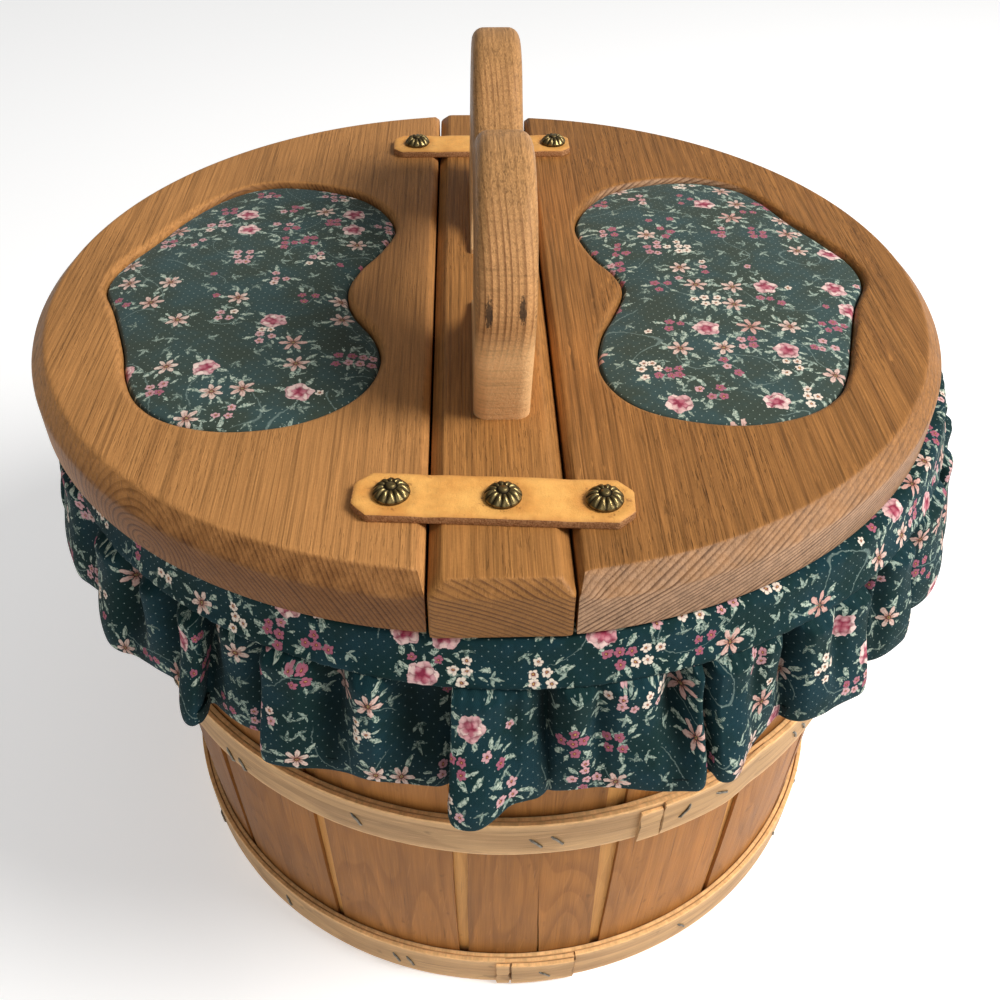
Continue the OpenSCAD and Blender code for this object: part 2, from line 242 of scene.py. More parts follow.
def solid_wood(name, light, dark, pith, spacing, seed=0.0, tilt=0.0, top=0.18, ends=0.6, rough=0.46, warp=1.6,
               flecks=0.12, end_dark=0.72, grain=0.30, deep=None, split=None, dashes=0.42, ladder=0.0, end_col=None, streaks=0.50, marks=(), foot_painted_light=None):
    """Solid wood with its grain along Y: growth rings round a pith line at (x, z), in part millimetres.
    split holds the x of a glue line, and the pith and ring spacing of the board beyond it."""
    g = G(name)
    p = g.vmath("SCALE", g.coords(), k=1000.0)
    x, y, z = g.sep(p)
    # slow waver of the rings along the board
    w = g.noise(g.comb(x * 0.012 + seed, y * 0.005, z * 0.012), 1.0, 1.0, 0.5, out="Color")
    wx, wy, wz = g.sep(w)
    ox = (wx - 0.5) * (2 * warp) + y * tilt
    oz = (wy - 0.5) * (2 * warp)

    def rings(centre, gap):
        dx = x + ox - centre[0]
        dz = z + oz - centre[1]
        d = g.math("SQRT", dx * dx + dz * dz)
        d = d + (g.noise(g.comb(d * 0.10, seed, 0.0), 1.0, 2.0, 0.6) - 0.5) * (gap * 2.4)
        return d / gap
    k = rings(pith, spacing)
    if split:
        k2 = rings(split[1], split[2]) + 300.0
        far = g.math("GREATER_THAN", x, split[0])
        k = k * (1.0 - far) + k2 * far
    f = g.math("FRACT", k)
    late = g.step(0.42, 0.88, f) * g.step(1.0, 0.93, f)
    late = late * (g.white(g.math("FLOOR", k)) * 0.55 + 0.55)
    fib = g.noise(g.comb(x * 2.3, y * 0.045 + seed, z * 2.3), 1.0, 3.0, 0.6)
    streak = g.noise(g.comb(x * 0.42 + seed, y * 0.010, z * 0.42), 1.0, 3.0, 0.55)
    blotch = g.noise(g.comb(x * 0.022, y * 0.012 + seed, z * 0.03), 1.0, 3.0, 0.55)
    nx, ny, nzz = g.sep(g.coords("Normal"))
    end = g.step(0.30, 0.80, g.math("ABSOLUTE", ny))
    side = 1.0 - end
    base = g.mix(end, light, end_col) if end_col else light
    col = g.mix(g.math("MULTIPLY", late, side * top + end * ends, clamp=True), base, dark)
    shade = (fib - 0.5) * (side * (3.2 * grain) + 0.30) + 1.0
    shade = shade * ((streak - 0.5) * streaks + 1.0)
    speck = g.noise(g.comb(x * 1.5, y * 0.9, z * 1.5), 1.0, 2.0, 0.7)
    shade = shade * ((speck - 0.5) * 0.34 + 1.0)
    shade = shade * ((blotch - 0.5) * 0.42 + 1.0)
    # straight fine lines about a millimetre apart, and short dark pores
    lines = g.step(0.50, 0.68, g.noise(g.comb(x * 0.95, y * 0.010 + seed * 2, z * 0.95), 1.0, 1.0, 0.5))
    shade = shade * (1.0 - lines * side * 0.24)
    dash = g.step(0.60, 0.70, g.noise(g.comb(x * 1.9, y * 0.16 + seed, z * 1.9), 1.0, 1.0, 0.5))
    dash = dash * g.step(0.38, 0.62, g.noise(g.comb(x * 0.025 + seed, y * 0.015, 1.0), 1.0, 1.0))
    shade = shade * (1.0 - dash * side * dashes)
    # the ends drink more stain
    shade = shade * (1.0 - end * (1.0 - end_dark))
    col = g.bright(col, shade)
    if deep:
        col = g.mix(late * end * 0.55, col, deep)
    pores = g.step(0.56, 0.72, g.noise(g.comb(x * 1.9, y * 1.9, z * 1.9), 1.0, 2.0, 0.5))
    col = g.bright(col, 1.0 - pores * end * 0.22)
    if foot_painted_light:
        # painted light: the wood is made paler low down, standing in for the light on the lower faces
        col = g.mix(g.step(foot_painted_light[1], foot_painted_light[0], z + (wz - 0.5) * 14.0) * foot_painted_light[3], col, foot_painted_light[2])
        col = g.bright(col, (speck - 0.5) * 0.30 + 1.0)
    if ladder:
        # level lines a millimetre apart across the ends
        lad = g.step(0.45, 0.75, g.noise(g.comb(x * 0.06, seed, z * 1.1), 1.0, 2.0, 0.6))
        col = g.bright(col, 1.0 - lad * end * ladder)
    # short light dashes along the grain
    fl = g.step(0.66, 0.75, g.noise(g.comb(x * 1.15, y * 0.13 + seed, z * 1.15), 1.0, 1.0, 0.5))
    fl = fl * side * g.step(0.40, 0.65, g.noise(g.comb(x * 0.03, y * 0.03, seed), 1.0, 1.0))
    pale = tuple(min(1.0, c * 1.45) for c in light[:3]) + (1.0,)
    col = g.mix(fl * (flecks * 3.2), col, pale)
    # small scorched spots, each with its centre and half lengths
    for mx, my, mz, hx, hz in marks:
        ax = (x - mx) * (1 / hx)
        az = (z - mz) * (1 / hz)
        dd = ax * ax + az * az + (g.noise(g.comb(x * 1.4, y * 0.3, z * 0.45), 1.0, 3.0, 0.75) - 0.5) * 3.4
        spot = g.step(1.0, 0.35, dd) * g.step(6.0, 4.0, g.math("ABSOLUTE", y - my))
        col = g.mix(spot * 0.86, col, lin(34, 27, 24))
    # worn, lighter edges
    e = g.attr("edge", "Fac")
    wear = e * g.step(0.30, 0.75, g.noise(g.comb(x * 0.16, y * 0.16, z * 0.16), 1.0, 3.0, 0.65))
    col = g.mix(wear * 0.36, col, pale)
    smear = g.noise(g.comb(x * 0.045, y * 0.03, seed + 3.0), 1.0, 3.0, 0.6)
    rg = (smear - 0.5) * 0.22 + rough + end * 0.12
    h = fib * 0.6 - lines * 0.4 - dash * side * 0.6 - pores * end * 0.4 + late * 0.25
    h = h + g.noise(g.comb(x * 0.12, y * 0.05, z * 0.12), 1.0, 2.0) * 0.9
    return g.done(col, rg, g.bump(h, 0.00016, 1.0), Specular_IOR_Level=0.18)


def strip_wood(name, light, dark, rough=0.5, seed=0.0, figure=0.35, fuzzy=0.0, spread=0.16, across=1.0, worn=1.0, sawn=None, left_painted_shade=0.0):
    """Thin wood cut in strips: 'flat' holds (along the grain, across the grain, strip number) in millimetres."""
    g = G(name)
    a, b, k = g.sep(g.attr("flat"))
    rnd = g.white(k)
    rnd2 = g.white(k + 41.7)
    off = k * 13.7 + seed
    fib = g.noise(g.comb(a * 0.045, b * 2.0 * across, off), 1.0, 3.0, 0.6)
    streak = g.noise(g.comb(a * 0.010, b * 0.30 * across, off), 1.0, 3.0, 0.55)
    # broad figure of veneer peeled round the log
    big = g.noise(g.comb(a * 0.0065, b * 0.035 * across, off + 5.0), 1.0, 1.0, 0.5)
    f = g.math("FRACT", big * 9.0)
    fig = g.step(0.30, 0.90, f) * g.step(1.0, 0.90, f)
    blotch = g.noise(g.comb(a * 0.02, b * 0.03, off + 9.0), 1.0, 4.0, 0.6)
    col = g.mix(fig * figure, light, dark)
    shade = ((fib - 0.5) * (0.34 * worn) + 1.0) * ((streak - 0.5) * (0.36 * worn) + 1.0) * ((blotch - 0.5) * (0.34 * worn) + 1.0)
    shade = shade * ((rnd - 0.5) * (2 * spread) + 1.0)
    col = g.bright(col, shade)
    col = g.mix(rnd2 * 0.25, col, g.mix(0.5, col, dark))
    lines = g.step(0.63, 0.75, g.noise(g.comb(a * 0.022, b * 1.1 * across, off + 2.0), 1.0, 2.0, 0.6))
    col = g.bright(col, 1.0 - lines * (0.18 * worn))
    # small dark scuffs and drips
    spots = g.step(0.66, 0.76, g.noise(g.comb(a * 0.09, b * 0.14, off + 17.0), 1.0, 2.0, 0.5))
    col = g.bright(col, 1.0 - spots * 0.32)
    # pale scratches
    scr = g.step(0.66, 0.72, g.noise(g.comb(a * 0.05 + b * 0.05, b * 0.7 - a * 0.10, off + 23.0), 1.0, 1.0, 0.5))
    col = g.mix(scr * (0.10 * worn), col, tuple(min(1.0, c * 1.6 + 0.02) for c in light[:3]) + (1.0,))
    e = g.attr("edge", "Fac")
    pale = tuple(min(1.0, c * 1.45 + 0.03) for c in light[:3]) + (1.0,)
    fray = g.step(0.25, 0.75, g.noise(g.comb(a * 0.35, b * 1.5, off), 1.0, 3.0, 0.7))
    col = g.mix(e * (fray * 0.55 + 0.25) * (0.5 + fuzzy), col, pale)
    if sawn:
        # pale sawn top and bottom edges
        col = g.mix(g.step(0.60, 0.95, e) * 0.85, col, g.bright(sawn, (fray - 0.5) * 0.4 + (fib - 0.5) * 0.4 + 0.95))
    if left_painted_shade:
        # painted shade: the staves on the -X side of the basket are darkened, standing in for the shade that falls on
        # that side
        ox, oy, oz = g.sep(g.vmath("SCALE", g.coords(), k=1000.0))
        col = g.mix(g.step(-55.0, -150.0, ox) * left_painted_shade, col, g.bright(dark, 0.62))
    # darker by the per-point dirt value: random dirt on the hoops, painted shade along the stave gaps and beside the
    # hoops
    dirt_and_shade_fac = g.attr("dirt_and_shade", "Fac")
    col = g.bright(col, 1.0 - dirt_and_shade_fac * 0.62)
    rg = (blotch - 0.5) * 0.2 + rough
    h = fib * 0.5 - lines * 0.5 + streak * 0.6
    return g.done(col, rg, g.bump(h, 0.00022, 1.0), Specular_IOR_Level=0.16)


def leaf_edge(g, x, y, ang, start, length, width):
    c, s = math.cos(ang), math.sin(ang)
    u = (x * c + y * s - start) * (1.0 / length)
    w = u * (1.0 - u) * (2.0 * width)
    t = g.math("ABSOLUTE", y * c - x * s)
    return w - t, t


def calico(name, ground, second, dots, seed=0.0, gloss=0.12, sheen=0.03, gain=1.0):
    """Printed cotton: small flowers, sage leaves, curling stems and pin dots. 'flat' holds cloth millimetres."""
    g = G(name)
    fx, fy, fz = g.sep(g.attr("flat"))
    q = g.comb(fx + seed, fy, 0.0)
    # a little waver in the printed outlines
    w1, w2, w3 = g.sep(g.noise(q, 0.55, 2.0, 0.6, out="Color"))
    px = fx + seed + (w1 - 0.5) * 1.5
    py = fy + (w2 - 0.5) * 1.5
    p = g.comb(px, py, 0.0)
    # ground
    tone = g.noise(q, 0.05, 3.0, 0.6)
    col = g.mix(g.step(0.35, 0.68, tone), ground, second)
    col = g.bright(col, (tone - 0.5) * 0.5 + 1.0)
    # pin dots, staggered
    s = 2.7
    qx = g.math("FRACT", (fx + fy) * (0.70711 / s)) - 0.5
    qy = g.math("FRACT", (fx - fy) * (0.70711 / s)) - 0.5
    dd = g.math("SQRT", qx * qx + qy * qy) * s
    col = g.mix(g.step(0.27, 0.10, dd) * 0.80, col, dots)
    # curling stems
    n1 = g.noise(p, 0.042, 0.0, 0.5, dims="2D")
    vine = g.step(0.0085, 0.003, g.math("ABSOLUTE", n1 - 0.52))
    gate = g.step(0.47, 0.53, g.noise(p, 0.033, 0.0, 0.5, dims="2D", distort=0.4))
    col = g.mix(vine * gate * 0.50, col, lin(134, 154, 146))
    # brush strokes inside the leaves
    brush = g.noise(p, 1.05, 2.0, 0.6)
    # loose leaves
    _, lc, lp = g.voronoi(p, 1 / 8.6, 0.85)
    l1, l2, l3 = g.sep(lc)
    rot = g.add("ShaderNodeVectorRotate", rotation_type="Z_AXIS")
    g.put(rot.inputs["Vector"], g.vmath("SUBTRACT", p, lp))
    g.put(rot.inputs["Angle"], l1 * (2 * PI))
    lx, ly, _ = g.sep(N(g, rot.outputs[0]))
    e1, t1 = leaf_edge(g, lx, ly, 0.35, -0.8, 4.8, 1.35)
    e2, t2 = leaf_edge(g, lx, ly, -0.75, -0.6, 3.8, 1.15)
    e3, t3 = leaf_edge(g, lx, ly, 1.65, -0.4, 3.0, 0.95)
    e = g.math("MAXIMUM", g.math("MAXIMUM", e1, e2), e3)
    t = g.math("MINIMUM", t1, t2)
    on = g.step(0.0, 0.14, e) * g.math("GREATER_THAN", l2, 0.36)
    lcol = g.mix(g.step(0.41, 0.60, brush + (l3 - 0.5) * 0.12), lin(40, 70, 66), lin(158, 176, 162))
    lcol = g.mix(g.step(0.26, 0.08, e) * 0.35, lcol, lin(176, 188, 172))
    lcol = g.mix(g.step(0.16, 0.05, t) * 0.5, lcol, lin(176, 186, 168))
    col = g.mix(on * 0.92, col, lcol)
    # main cells: each holds one motif
    sp = 14.4
    _, cc, cp = g.voronoi(p, 1 / sp, 0.62)
    r1, r2, r3 = g.sep(cc)
    rot = g.add("ShaderNodeVectorRotate", rotation_type="Z_AXIS")
    g.put(rot.inputs["Vector"], g.vmath("SUBTRACT", p, cp))
    g.put(rot.inputs["Angle"], r1 * (2 * PI))
    mx, my, _ = g.sep(N(g, rot.outputs[0]))
    is_rose = g.math("LESS_THAN", r2, 0.08)
    is_star = g.math("LESS_THAN", r2, 0.32) - is_rose
    r = g.math("SQRT", mx * mx + my * my)
    th = g.math("ARCTAN2", my, mx)
    # leaves round roses, stars and sprays
    e1, t1 = leaf_edge(g, mx, my, 0.4, 3.6, 5.8, 2.1)
    e2, t2 = leaf_edge(g, mx, my, 2.2, 3.6, 5.2, 1.9)
    e3, t3 = leaf_edge(g, mx, my, -1.7, 3.6, 5.6, 2.0)
    e4, t4 = leaf_edge(g, mx, my, 0.95, 4.0, 3.6, 1.2)
    e5, t5 = leaf_edge(g, mx, my, -2.25, 4.0, 3.6, 1.2)
    e = g.math("MAXIMUM", g.math("MAXIMUM", e1, e2), g.math("MAXIMUM", e3, g.math("MAXIMUM", e4, e5)))
    t = g.math("MINIMUM", g.math("MINIMUM", t1, t2), g.math("MINIMUM", t3, g.math("MINIMUM", t4, t5)))
    on = g.step(0.0, 0.14, e) * g.math("LESS_THAN", r2, 0.70)
    lcol = g.mix(g.step(0.40, 0.58, brush), lin(62, 92, 84), lin(190, 202, 184))
    lcol = g.mix(g.step(0.30, 0.08, e) * 0.35, lcol, lin(96, 122, 112))
    lcol = g.mix(g.step(0.16, 0.05, t) * 0.5, lcol, lin(196, 206, 188))
    col = g.mix(on * 0.94, col, lcol)
    # star flowers: six long petals
    a = g.math("ABSOLUTE", g.math("FRACT", th * (6 / (2 * PI)) + 0.5) - 0.5) * (2 * PI / 6)
    u = r / (r3 * 1.1 + 4.1)
    lat = r * g.math("SINE", a)
    e = u * g.math("SQRT", g.math("MAXIMUM", 1.0 - u, 0.0)) * 2.55 - lat
    on = g.step(0.0, 0.16, e) * is_star
    pet = g.mix(r3, lin(232, 214, 198), lin(212, 170, 158))
    pet = g.mix(g.step(0.40, 0.66, brush) * 0.5, pet, lin(190, 134, 128))
    pet = g.mix(g.step(2.7, 0.9, r) * 0.62, pet, lin(164, 104, 78))
    pet = g.mix(g.step(0.20, 0.05, lat) * g.step(3.9, 1.7, r) * 0.55, pet, lin(122, 64, 62))
    pet = g.mix(g.step(0.34, 0.08, e) * 0.45, pet, lin(132, 82, 78))
    pet = g.mix(g.step(1.15, 0.8, r), pet, lin(112, 56, 46))
    pet = g.mix(g.step(0.6, 0.3, r), pet, lin(206, 168, 100))
    col = g.mix(on, col, pet)
    # roses: crowded small petals
    wob = g.noise(g.comb(mx * 0.32, my * 0.32, r1 * 9.0), 1.0, 1.0, 0.5)
    rr = r + (wob - 0.5) * 1.6 + g.math("COSINE", th * 5.0 + r1 * 6.0) * 0.38
    on = g.step(4.6, 4.35, rr) * is_rose
    pd, pc, pp = g.voronoi(p, 1 / 2.3, 0.8)
    v1, v2, v3 = g.sep(pc)
    rose = g.mix(g.step(0.62, 0.12, pd), lin(146, 56, 80), lin(212, 146, 154))
    rose = g.mix(v1 * g.step(1.6, 3.2, rr), rose, lin(244, 220, 208))
    rose = g.mix(g.step(2.6, 0.9, rr) * 0.55, rose, lin(158, 38, 68))
    rose = g.mix(g.step(0.50, 0.66, pd) * 0.55, rose, lin(124, 42, 62))
    rose = g.mix(g.step(3.6, 4.3, rr) * 0.30, rose, lin(240, 200, 198))
    col = g.mix(on, col, rose)
    # sprays of small five-petalled flowers
    _, fc, fp = g.voronoi(p, 1 / 4.1, 0.42)
    f1, f2, f3 = g.sep(fc)
    _, cc2, cp2 = g.voronoi(fp, 1 / sp, 0.62)
    c1, c2, c3 = g.sep(cc2)
    away = g.vmath("DISTANCE", fp, cp2)
    in_spray = g.math("GREATER_THAN", c2, 0.32) * g.math("LESS_THAN", c2, 0.70) * g.math("LESS_THAN", away, 4.9)
    alone = g.math("LESS_THAN", f2, 0.035) * g.math("GREATER_THAN", away, 6.6)
    seen = g.math("MAXIMUM", in_spray * g.math("GREATER_THAN", f3, 0.10), alone)
    ff = g.vmath("SUBTRACT", p, fp)
    gx, gy, _ = g.sep(ff)
    r = g.math("SQRT", gx * gx + gy * gy)
    th = g.math("ARCTAN2", gy, gx)
    size = f2 * 0.4 + 1.62
    lobe = g.math("SQRT", g.math("ABSOLUTE", g.math("COSINE", th * 2.5 + f1 * 3.15)))
    e = size * (lobe * 0.42 + 0.58) - r
    on = g.step(0.0, 0.16, e) * seen
    pick = c3 + (f3 - 0.5) * 0.3
    pet = g.mix(g.step(0.34, 0.40, pick), lin(168, 98, 116), lin(212, 166, 168))
    pet = g.mix(g.step(0.62, 0.68, pick), pet, lin(236, 222, 204))
    pet = g.mix(g.step(0.55, 0.15, lobe) * 0.55, pet, lin(120, 60, 72))
    pet = g.mix(g.step(0.30, 0.05, e) * 0.30, pet, lin(136, 84, 88))
    pet = g.mix(g.step(1.05, 0.40, r) * 0.50, pet, lin(150, 66, 82))
    pet = g.mix(g.step(0.56, 0.40, r), pet, lin(120, 52, 44))
    pet = g.mix(g.step(0.30, 0.18, r) * 0.8, pet, lin(214, 178, 108))
    col = g.mix(on, col, pet)
    # cloth grain
    wv = g.noise(g.comb(fx * 3.2, fy * 0.5, 1.0), 1.0, 1.0) + g.noise(g.comb(fx * 0.5, fy * 3.2, 2.0), 1.0, 1.0)
    col = g.bright(col, ((wv - 1.0) * 0.30 + 1.0) * gain)
    # painted shade down in the folds and inside the turned hem
    col = g.bright(col, 1.0 - g.attr("fold_shade", "Fac") * 0.62)
    slub = g.noise(g.comb(fx * 0.7, fy * 0.7, 5.0), 1.0, 2.0)
    h = g.math("SINE", fx * (2 * PI / 0.62)) * g.math("SINE", fy * (2 * PI / 0.62)) * 0.35 + wv * 0.5 + slub * 0.8
    return g.done(col, 0.80, g.bump(h, 0.00010, 1.0), Specular_IOR_Level=gloss,
                  Sheen_Weight=sheen, Sheen_Roughness=0.45, Sheen_Tint=(0.75, 0.85, 0.85, 1.0))


def leather(name):
    g = G(name)
    p = g.vmath("SCALE", g.coords(), k=1000.0)
    x, y, z = g.sep(p)
    side = g.attr("side", "Fac")
    blot = g.noise(p, 0.055, 4.0, 0.6)
    mott = g.noise(p, 0.33, 3.0, 0.6)
    pore = g.noise(p, 2.6, 2.0, 0.6)
    col = g.mix(g.step(0.30, 0.72, blot), lin(244, 184, 100), lin(224, 154, 76))
    col = g.bright(col, (mott - 0.5) * 0.35 + 1.0)
    col = g.bright(col, (pore - 0.5) * 0.18 + 1.0)
    near = g.attr("near_tack", "Fac")
    spots = g.step(0.56, 0.70, g.noise(p, 0.62, 2.0, 0.6))
    col = g.mix(near * (spots * 0.55 + 0.15), col, lin(120, 62, 34))
    few = g.step(0.70, 0.76, g.noise(p, 0.27, 2.0, 0.5))
    col = g.mix(few * 0.35, col, lin(135, 76, 44))
    streak = g.step(0.60, 0.75, g.noise(g.comb(x * 0.9, y * 0.08, z), 1.0, 2.0))
    col = g.bright(col, 1.0 - streak * 0.08)
    fuzz = g.noise(p, 1.7, 4.0, 0.75)
    cut = g.mix(g.step(0.30, 0.72, fuzz), lin(150, 96, 56), lin(214, 162, 112))
    col = g.mix(g.step(0.25, 0.75, side), col, cut)
    worn = g.attr("edge", "Fac")
    col = g.mix(worn * 0.40, col, lin(150, 84, 46))
    rg = (mott - 0.5) * 0.2 + 0.46 + side * 0.4
    h = pore * 0.5 + mott * 0.8 + fuzz * side * 2.2
    return g.done(col, rg, g.bump(h, 0.00028, 1.0), Specular_IOR_Level=0.32, Coat_Weight=0.04, Coat_Roughness=0.4)


def brass(name):
    g = G(name)
    p = g.vmath("SCALE", g.coords(), k=1000.0)
    low = g.attr("low", "Fac")
    n = g.noise(p, 0.8, 4.0, 0.65)
    f = g.noise(p, 4.0, 2.0, 0.6)
    col = g.mix(g.step(0.25, 0.75, n), lin(122, 104, 66), lin(150, 132, 88))
    col = g.mix(g.math("MULTIPLY", low, 0.96, clamp=True), col, lin(34, 28, 20))
    col = g.bright(col, (f - 0.5) * 0.5 + 1.0)
    rg = low * 0.35 + (n - 0.5) * 0.25 + 0.30
    return g.done(col, rg, g.bump(n * 0.6 + f * 0.4, 0.0001, 1.0), Metallic=0.92)


def wire(name, a, b, rough=0.42, rust=0.25):
    g = G(name)
    p = g.vmath("SCALE", g.coords(), k=1000.0)
    n = g.noise(p, 0.5, 4.0, 0.65)
    f = g.noise(p, 3.0, 2.0, 0.6)
    col = g.mix(g.step(0.3, 0.7, n), a, b)
    col = g.mix(g.step(0.58, 0.72, f) * rust, col, lin(96, 52, 28))
    return g.done(col, (n - 0.5) * 0.3 + rough, g.bump(f, 0.00008, 1.0), Metallic=0.85)


def plywood(name):
    """Thin board of three plies: face grain along Y and dark and light layers at the edge."""
    g = G(name)
    p = g.vmath("SCALE", g.coords(), k=1000.0)
    x, y, z = g.sep(p)
    fib = g.noise(g.comb(x * 1.4, y * 0.03, z), 1.0, 3.0, 0.6)
    big = g.noise(g.comb(x * 0.03, y * 0.008, 3.0), 1.0, 1.0)
    f = g.math("FRACT", big * 10.0)
    fig = g.step(0.3, 0.9, f) * g.step(1.0, 0.9, f)
    col = g.mix(fig * 0.45, lin(214, 178, 128), lin(176, 128, 80))
    col = g.bright(col, (fib - 0.5) * 0.35 + 1.0)
    ply = g.step(0.45, 0.55, g.math("ABSOLUTE", g.math("FRACT", (z - 236.2) / 3.9) - 0.5) * 2.0)
    nx, ny, nn = g.sep(g.coords("Normal"))
    edge = g.step(0.7, 0.4, g.math("ABSOLUTE", nn))
    col = g.mix(ply * edge * 0.6, col, lin(130, 86, 50))
    return g.done(col, 0.62, g.bump(fib, 0.0002, 1.0), Specular_IOR_Level=0.3)


def elastic_web(name):
    g = G(name)
    p = g.vmath("SCALE", g.coords(), k=1000.0)
    x, y, z = g.sep(p)
    a = g.math("ARCTAN2", y, x) * 166.0
    rib = g.math("SINE", z * (2 * PI / 0.9))
    wv = g.math("SINE", a * (2 * PI / 1.1))
    n = g.noise(p, 0.2, 3.0)
    col = g.bright(lin(232, 228, 216), (n - 0.5) * 0.2 + 1.0)
    col = g.bright(col, rib * 0.06 + wv * 0.04 + 0.95)
    return g.done(col, 0.8, g.bump(rib * 0.6 + wv * 0.4, 0.00015, 1.0))


M_LEFT = solid_wood("left_lid_wood", lin(184, 130, 76), lin(120, 72, 34), (-115.0, 240.0), 1.7, seed=1.3, tilt=0.006,
                    top=0.22, ends=0.66, warp=1.2, end_dark=0.58, deep=lin(66, 36, 18), split=(-97.0, (-210.0, 156.0), 1.5),
                    end_col=lin(160, 106, 58), dashes=0.16, flecks=0.08, grain=0.22, streaks=0.42)
M_RIGHT = solid_wood("right_lid_wood", lin(150, 102, 54), lin(90, 54, 27), (165.0, 21.0), 1.5, seed=5.1, tilt=-0.012,
                     top=0.30, ends=0.66, warp=2.0, grain=0.42, flecks=0.30, end_dark=1.0, deep=lin(70, 46, 32), dashes=0.36,
                     end_col=lin(170, 134, 104), streaks=0.95)
M_BRIDGE = solid_wood("bridge_wood", lin(164, 113, 61), lin(104, 62, 31), (-90.0, 70.0), 1.5, seed=9.4, tilt=0.008,
                      top=0.24, ends=0.60, warp=1.6, grain=0.36, end_dark=0.72, deep=lin(66, 36, 24), dashes=0.22)
# the handle is painted paler below about z 297 mm, standing in for light on its lower part
M_HANDLE = solid_wood("handle_wood", lin(176, 130, 82), lin(112, 74, 40), (-160.0, 304.0), 2.0, seed=12.9, tilt=0.0,
                      top=0.26, ends=0.42, warp=1.2, grain=0.32, end_dark=1.0, deep=lin(110, 68, 36), ladder=0.22,
                      end_col=lin(196, 144, 92), marks=((-9.0, -97.0, 298.0, 1.3, 5.5), (1.1, -97.0, 299.0, 1.2, 5.0)),
                      foot_painted_light=(281.0, 297.0, lin(252, 204, 146), 0.90))
M_CLEAT = solid_wood("cleat_wood", lin(206, 164, 112), lin(166, 118, 70), (40.0, 120.0), 2.6, seed=15.0, top=0.3)
M_BASE = solid_wood("base_wood", lin(206, 162, 108), lin(160, 112, 66), (30.0, -60.0), 3.0, seed=18.0, top=0.3, rough=0.6)
M_OUTER = strip_wood("outer_veneer", lin(160, 105, 50), lin(114, 69, 27), rough=0.52, seed=2.0, figure=0.34, spread=0.12, worn=1.9, left_painted_shade=0.42)
M_INNER = strip_wood("inner_veneer", lin(214, 156, 88), lin(176, 116, 58), rough=0.56, seed=31.0, figure=0.24, spread=0.10, worn=1.3)
M_HOOP = strip_wood("hoop_wood", lin(192, 153, 108), lin(132, 95, 62), rough=0.60, seed=57.0, figure=0.30, fuzzy=0.65, spread=0.08, worn=1.8,
                    sawn=lin(248, 196, 134))
# painted light and shade: the skirt's calico has a darker ground and the pads' copy a lighter, greyer one, standing in
# for less light on the hanging skirt and more on the pads' tops
M_CALICO = calico("calico", lin(13, 44, 43), lin(17, 50, 58), lin(150, 170, 166), gain=0.95)
M_CALICO_PAD_LIT = calico("calico_pad_lit", lin(54, 67, 56), lin(48, 72, 72), lin(168, 182, 170), seed=37.0, gloss=0.30, sheen=0.12, gain=0.97)
M_LEATHER = leather("strap_leather")
M_TACK = brass("tack_metal")
M_STAPLE = wire("staple_wire", lin(140, 136, 124), lin(92, 86, 76), 0.42, 0.3)
M_SCREW = wire("screw_metal", lin(196, 160, 92), lin(168, 130, 70), 0.32, 0.12)
M_NAIL = wire("nail_metal", lin(150, 150, 150), lin(110, 110, 112), 0.38, 0.3)
M_PLY = plywood("insert_plywood")
M_ELASTIC = elastic_web("elastic")

for node, mat in (("base_board", M_BASE), ("cleat_front", M_CLEAT), ("cleat_back", M_CLEAT), ("cleat_screws", M_SCREW),
                  ("cleat_nails", M_NAIL), ("handle_screws", M_SCREW), ("insert_board_left", M_PLY),
                  ("insert_board_right", M_PLY), ("skirt_elastic", M_ELASTIC)):
    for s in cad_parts[node].material_slots:
        s.material = mat


# ------------------------------------------------------------------ mesh helper
def build(name, verts, faces, mat, body=None, replaces=(), attrs=None, sharp=None, ride=True):
    """One mesh piece from points in millimetres."""
    me = bpy.data.meshes.new(name)
    me.from_pydata([tuple(c * MM for c in v) for v in verts], [], [tuple(int(i) for i in f) for f in faces])
    me.validate()
    for key, val in (attrs or {}).items():
        val = np.asarray(val, float)
        if val.ndim == 2:
            at = me.attributes.new(key, "FLOAT_VECTOR", "POINT")
            at.data.foreach_set("vector", val.ravel())
        else:
            at = me.attributes.new(key, "FLOAT", "POINT")
            at.data.foreach_set("value", val.ravel())
    for p in me.polygons:
        p.use_smooth = True
    if sharp:
        me.set_sharp_from_angle(angle=math.radians(sharp))
    me.materials.append(mat)
    me.update()
    ob = bpy.data.objects.new(name, me)
    scene.collection.objects.link(ob)
    if body and ride:
        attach(ob, body)
    if replaces:
        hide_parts(*replaces)
    return ob


def inside(poly, q):
    """Which of the points q lie inside the closed line poly."""
    x, y = q[:, 0], q[:, 1]
    r = np.zeros(len(q), bool)
    n = len(poly)
    for i in range(n):
        x0, y0 = poly[i]
        x1, y1 = poly[(i + 1) % n]
        if y0 == y1:
            continue
        c = (y0 > y) != (y1 > y)
        r ^= c & (x < (x1 - x0) * (y - y0) / (y1 - y0) + x0)
    return r


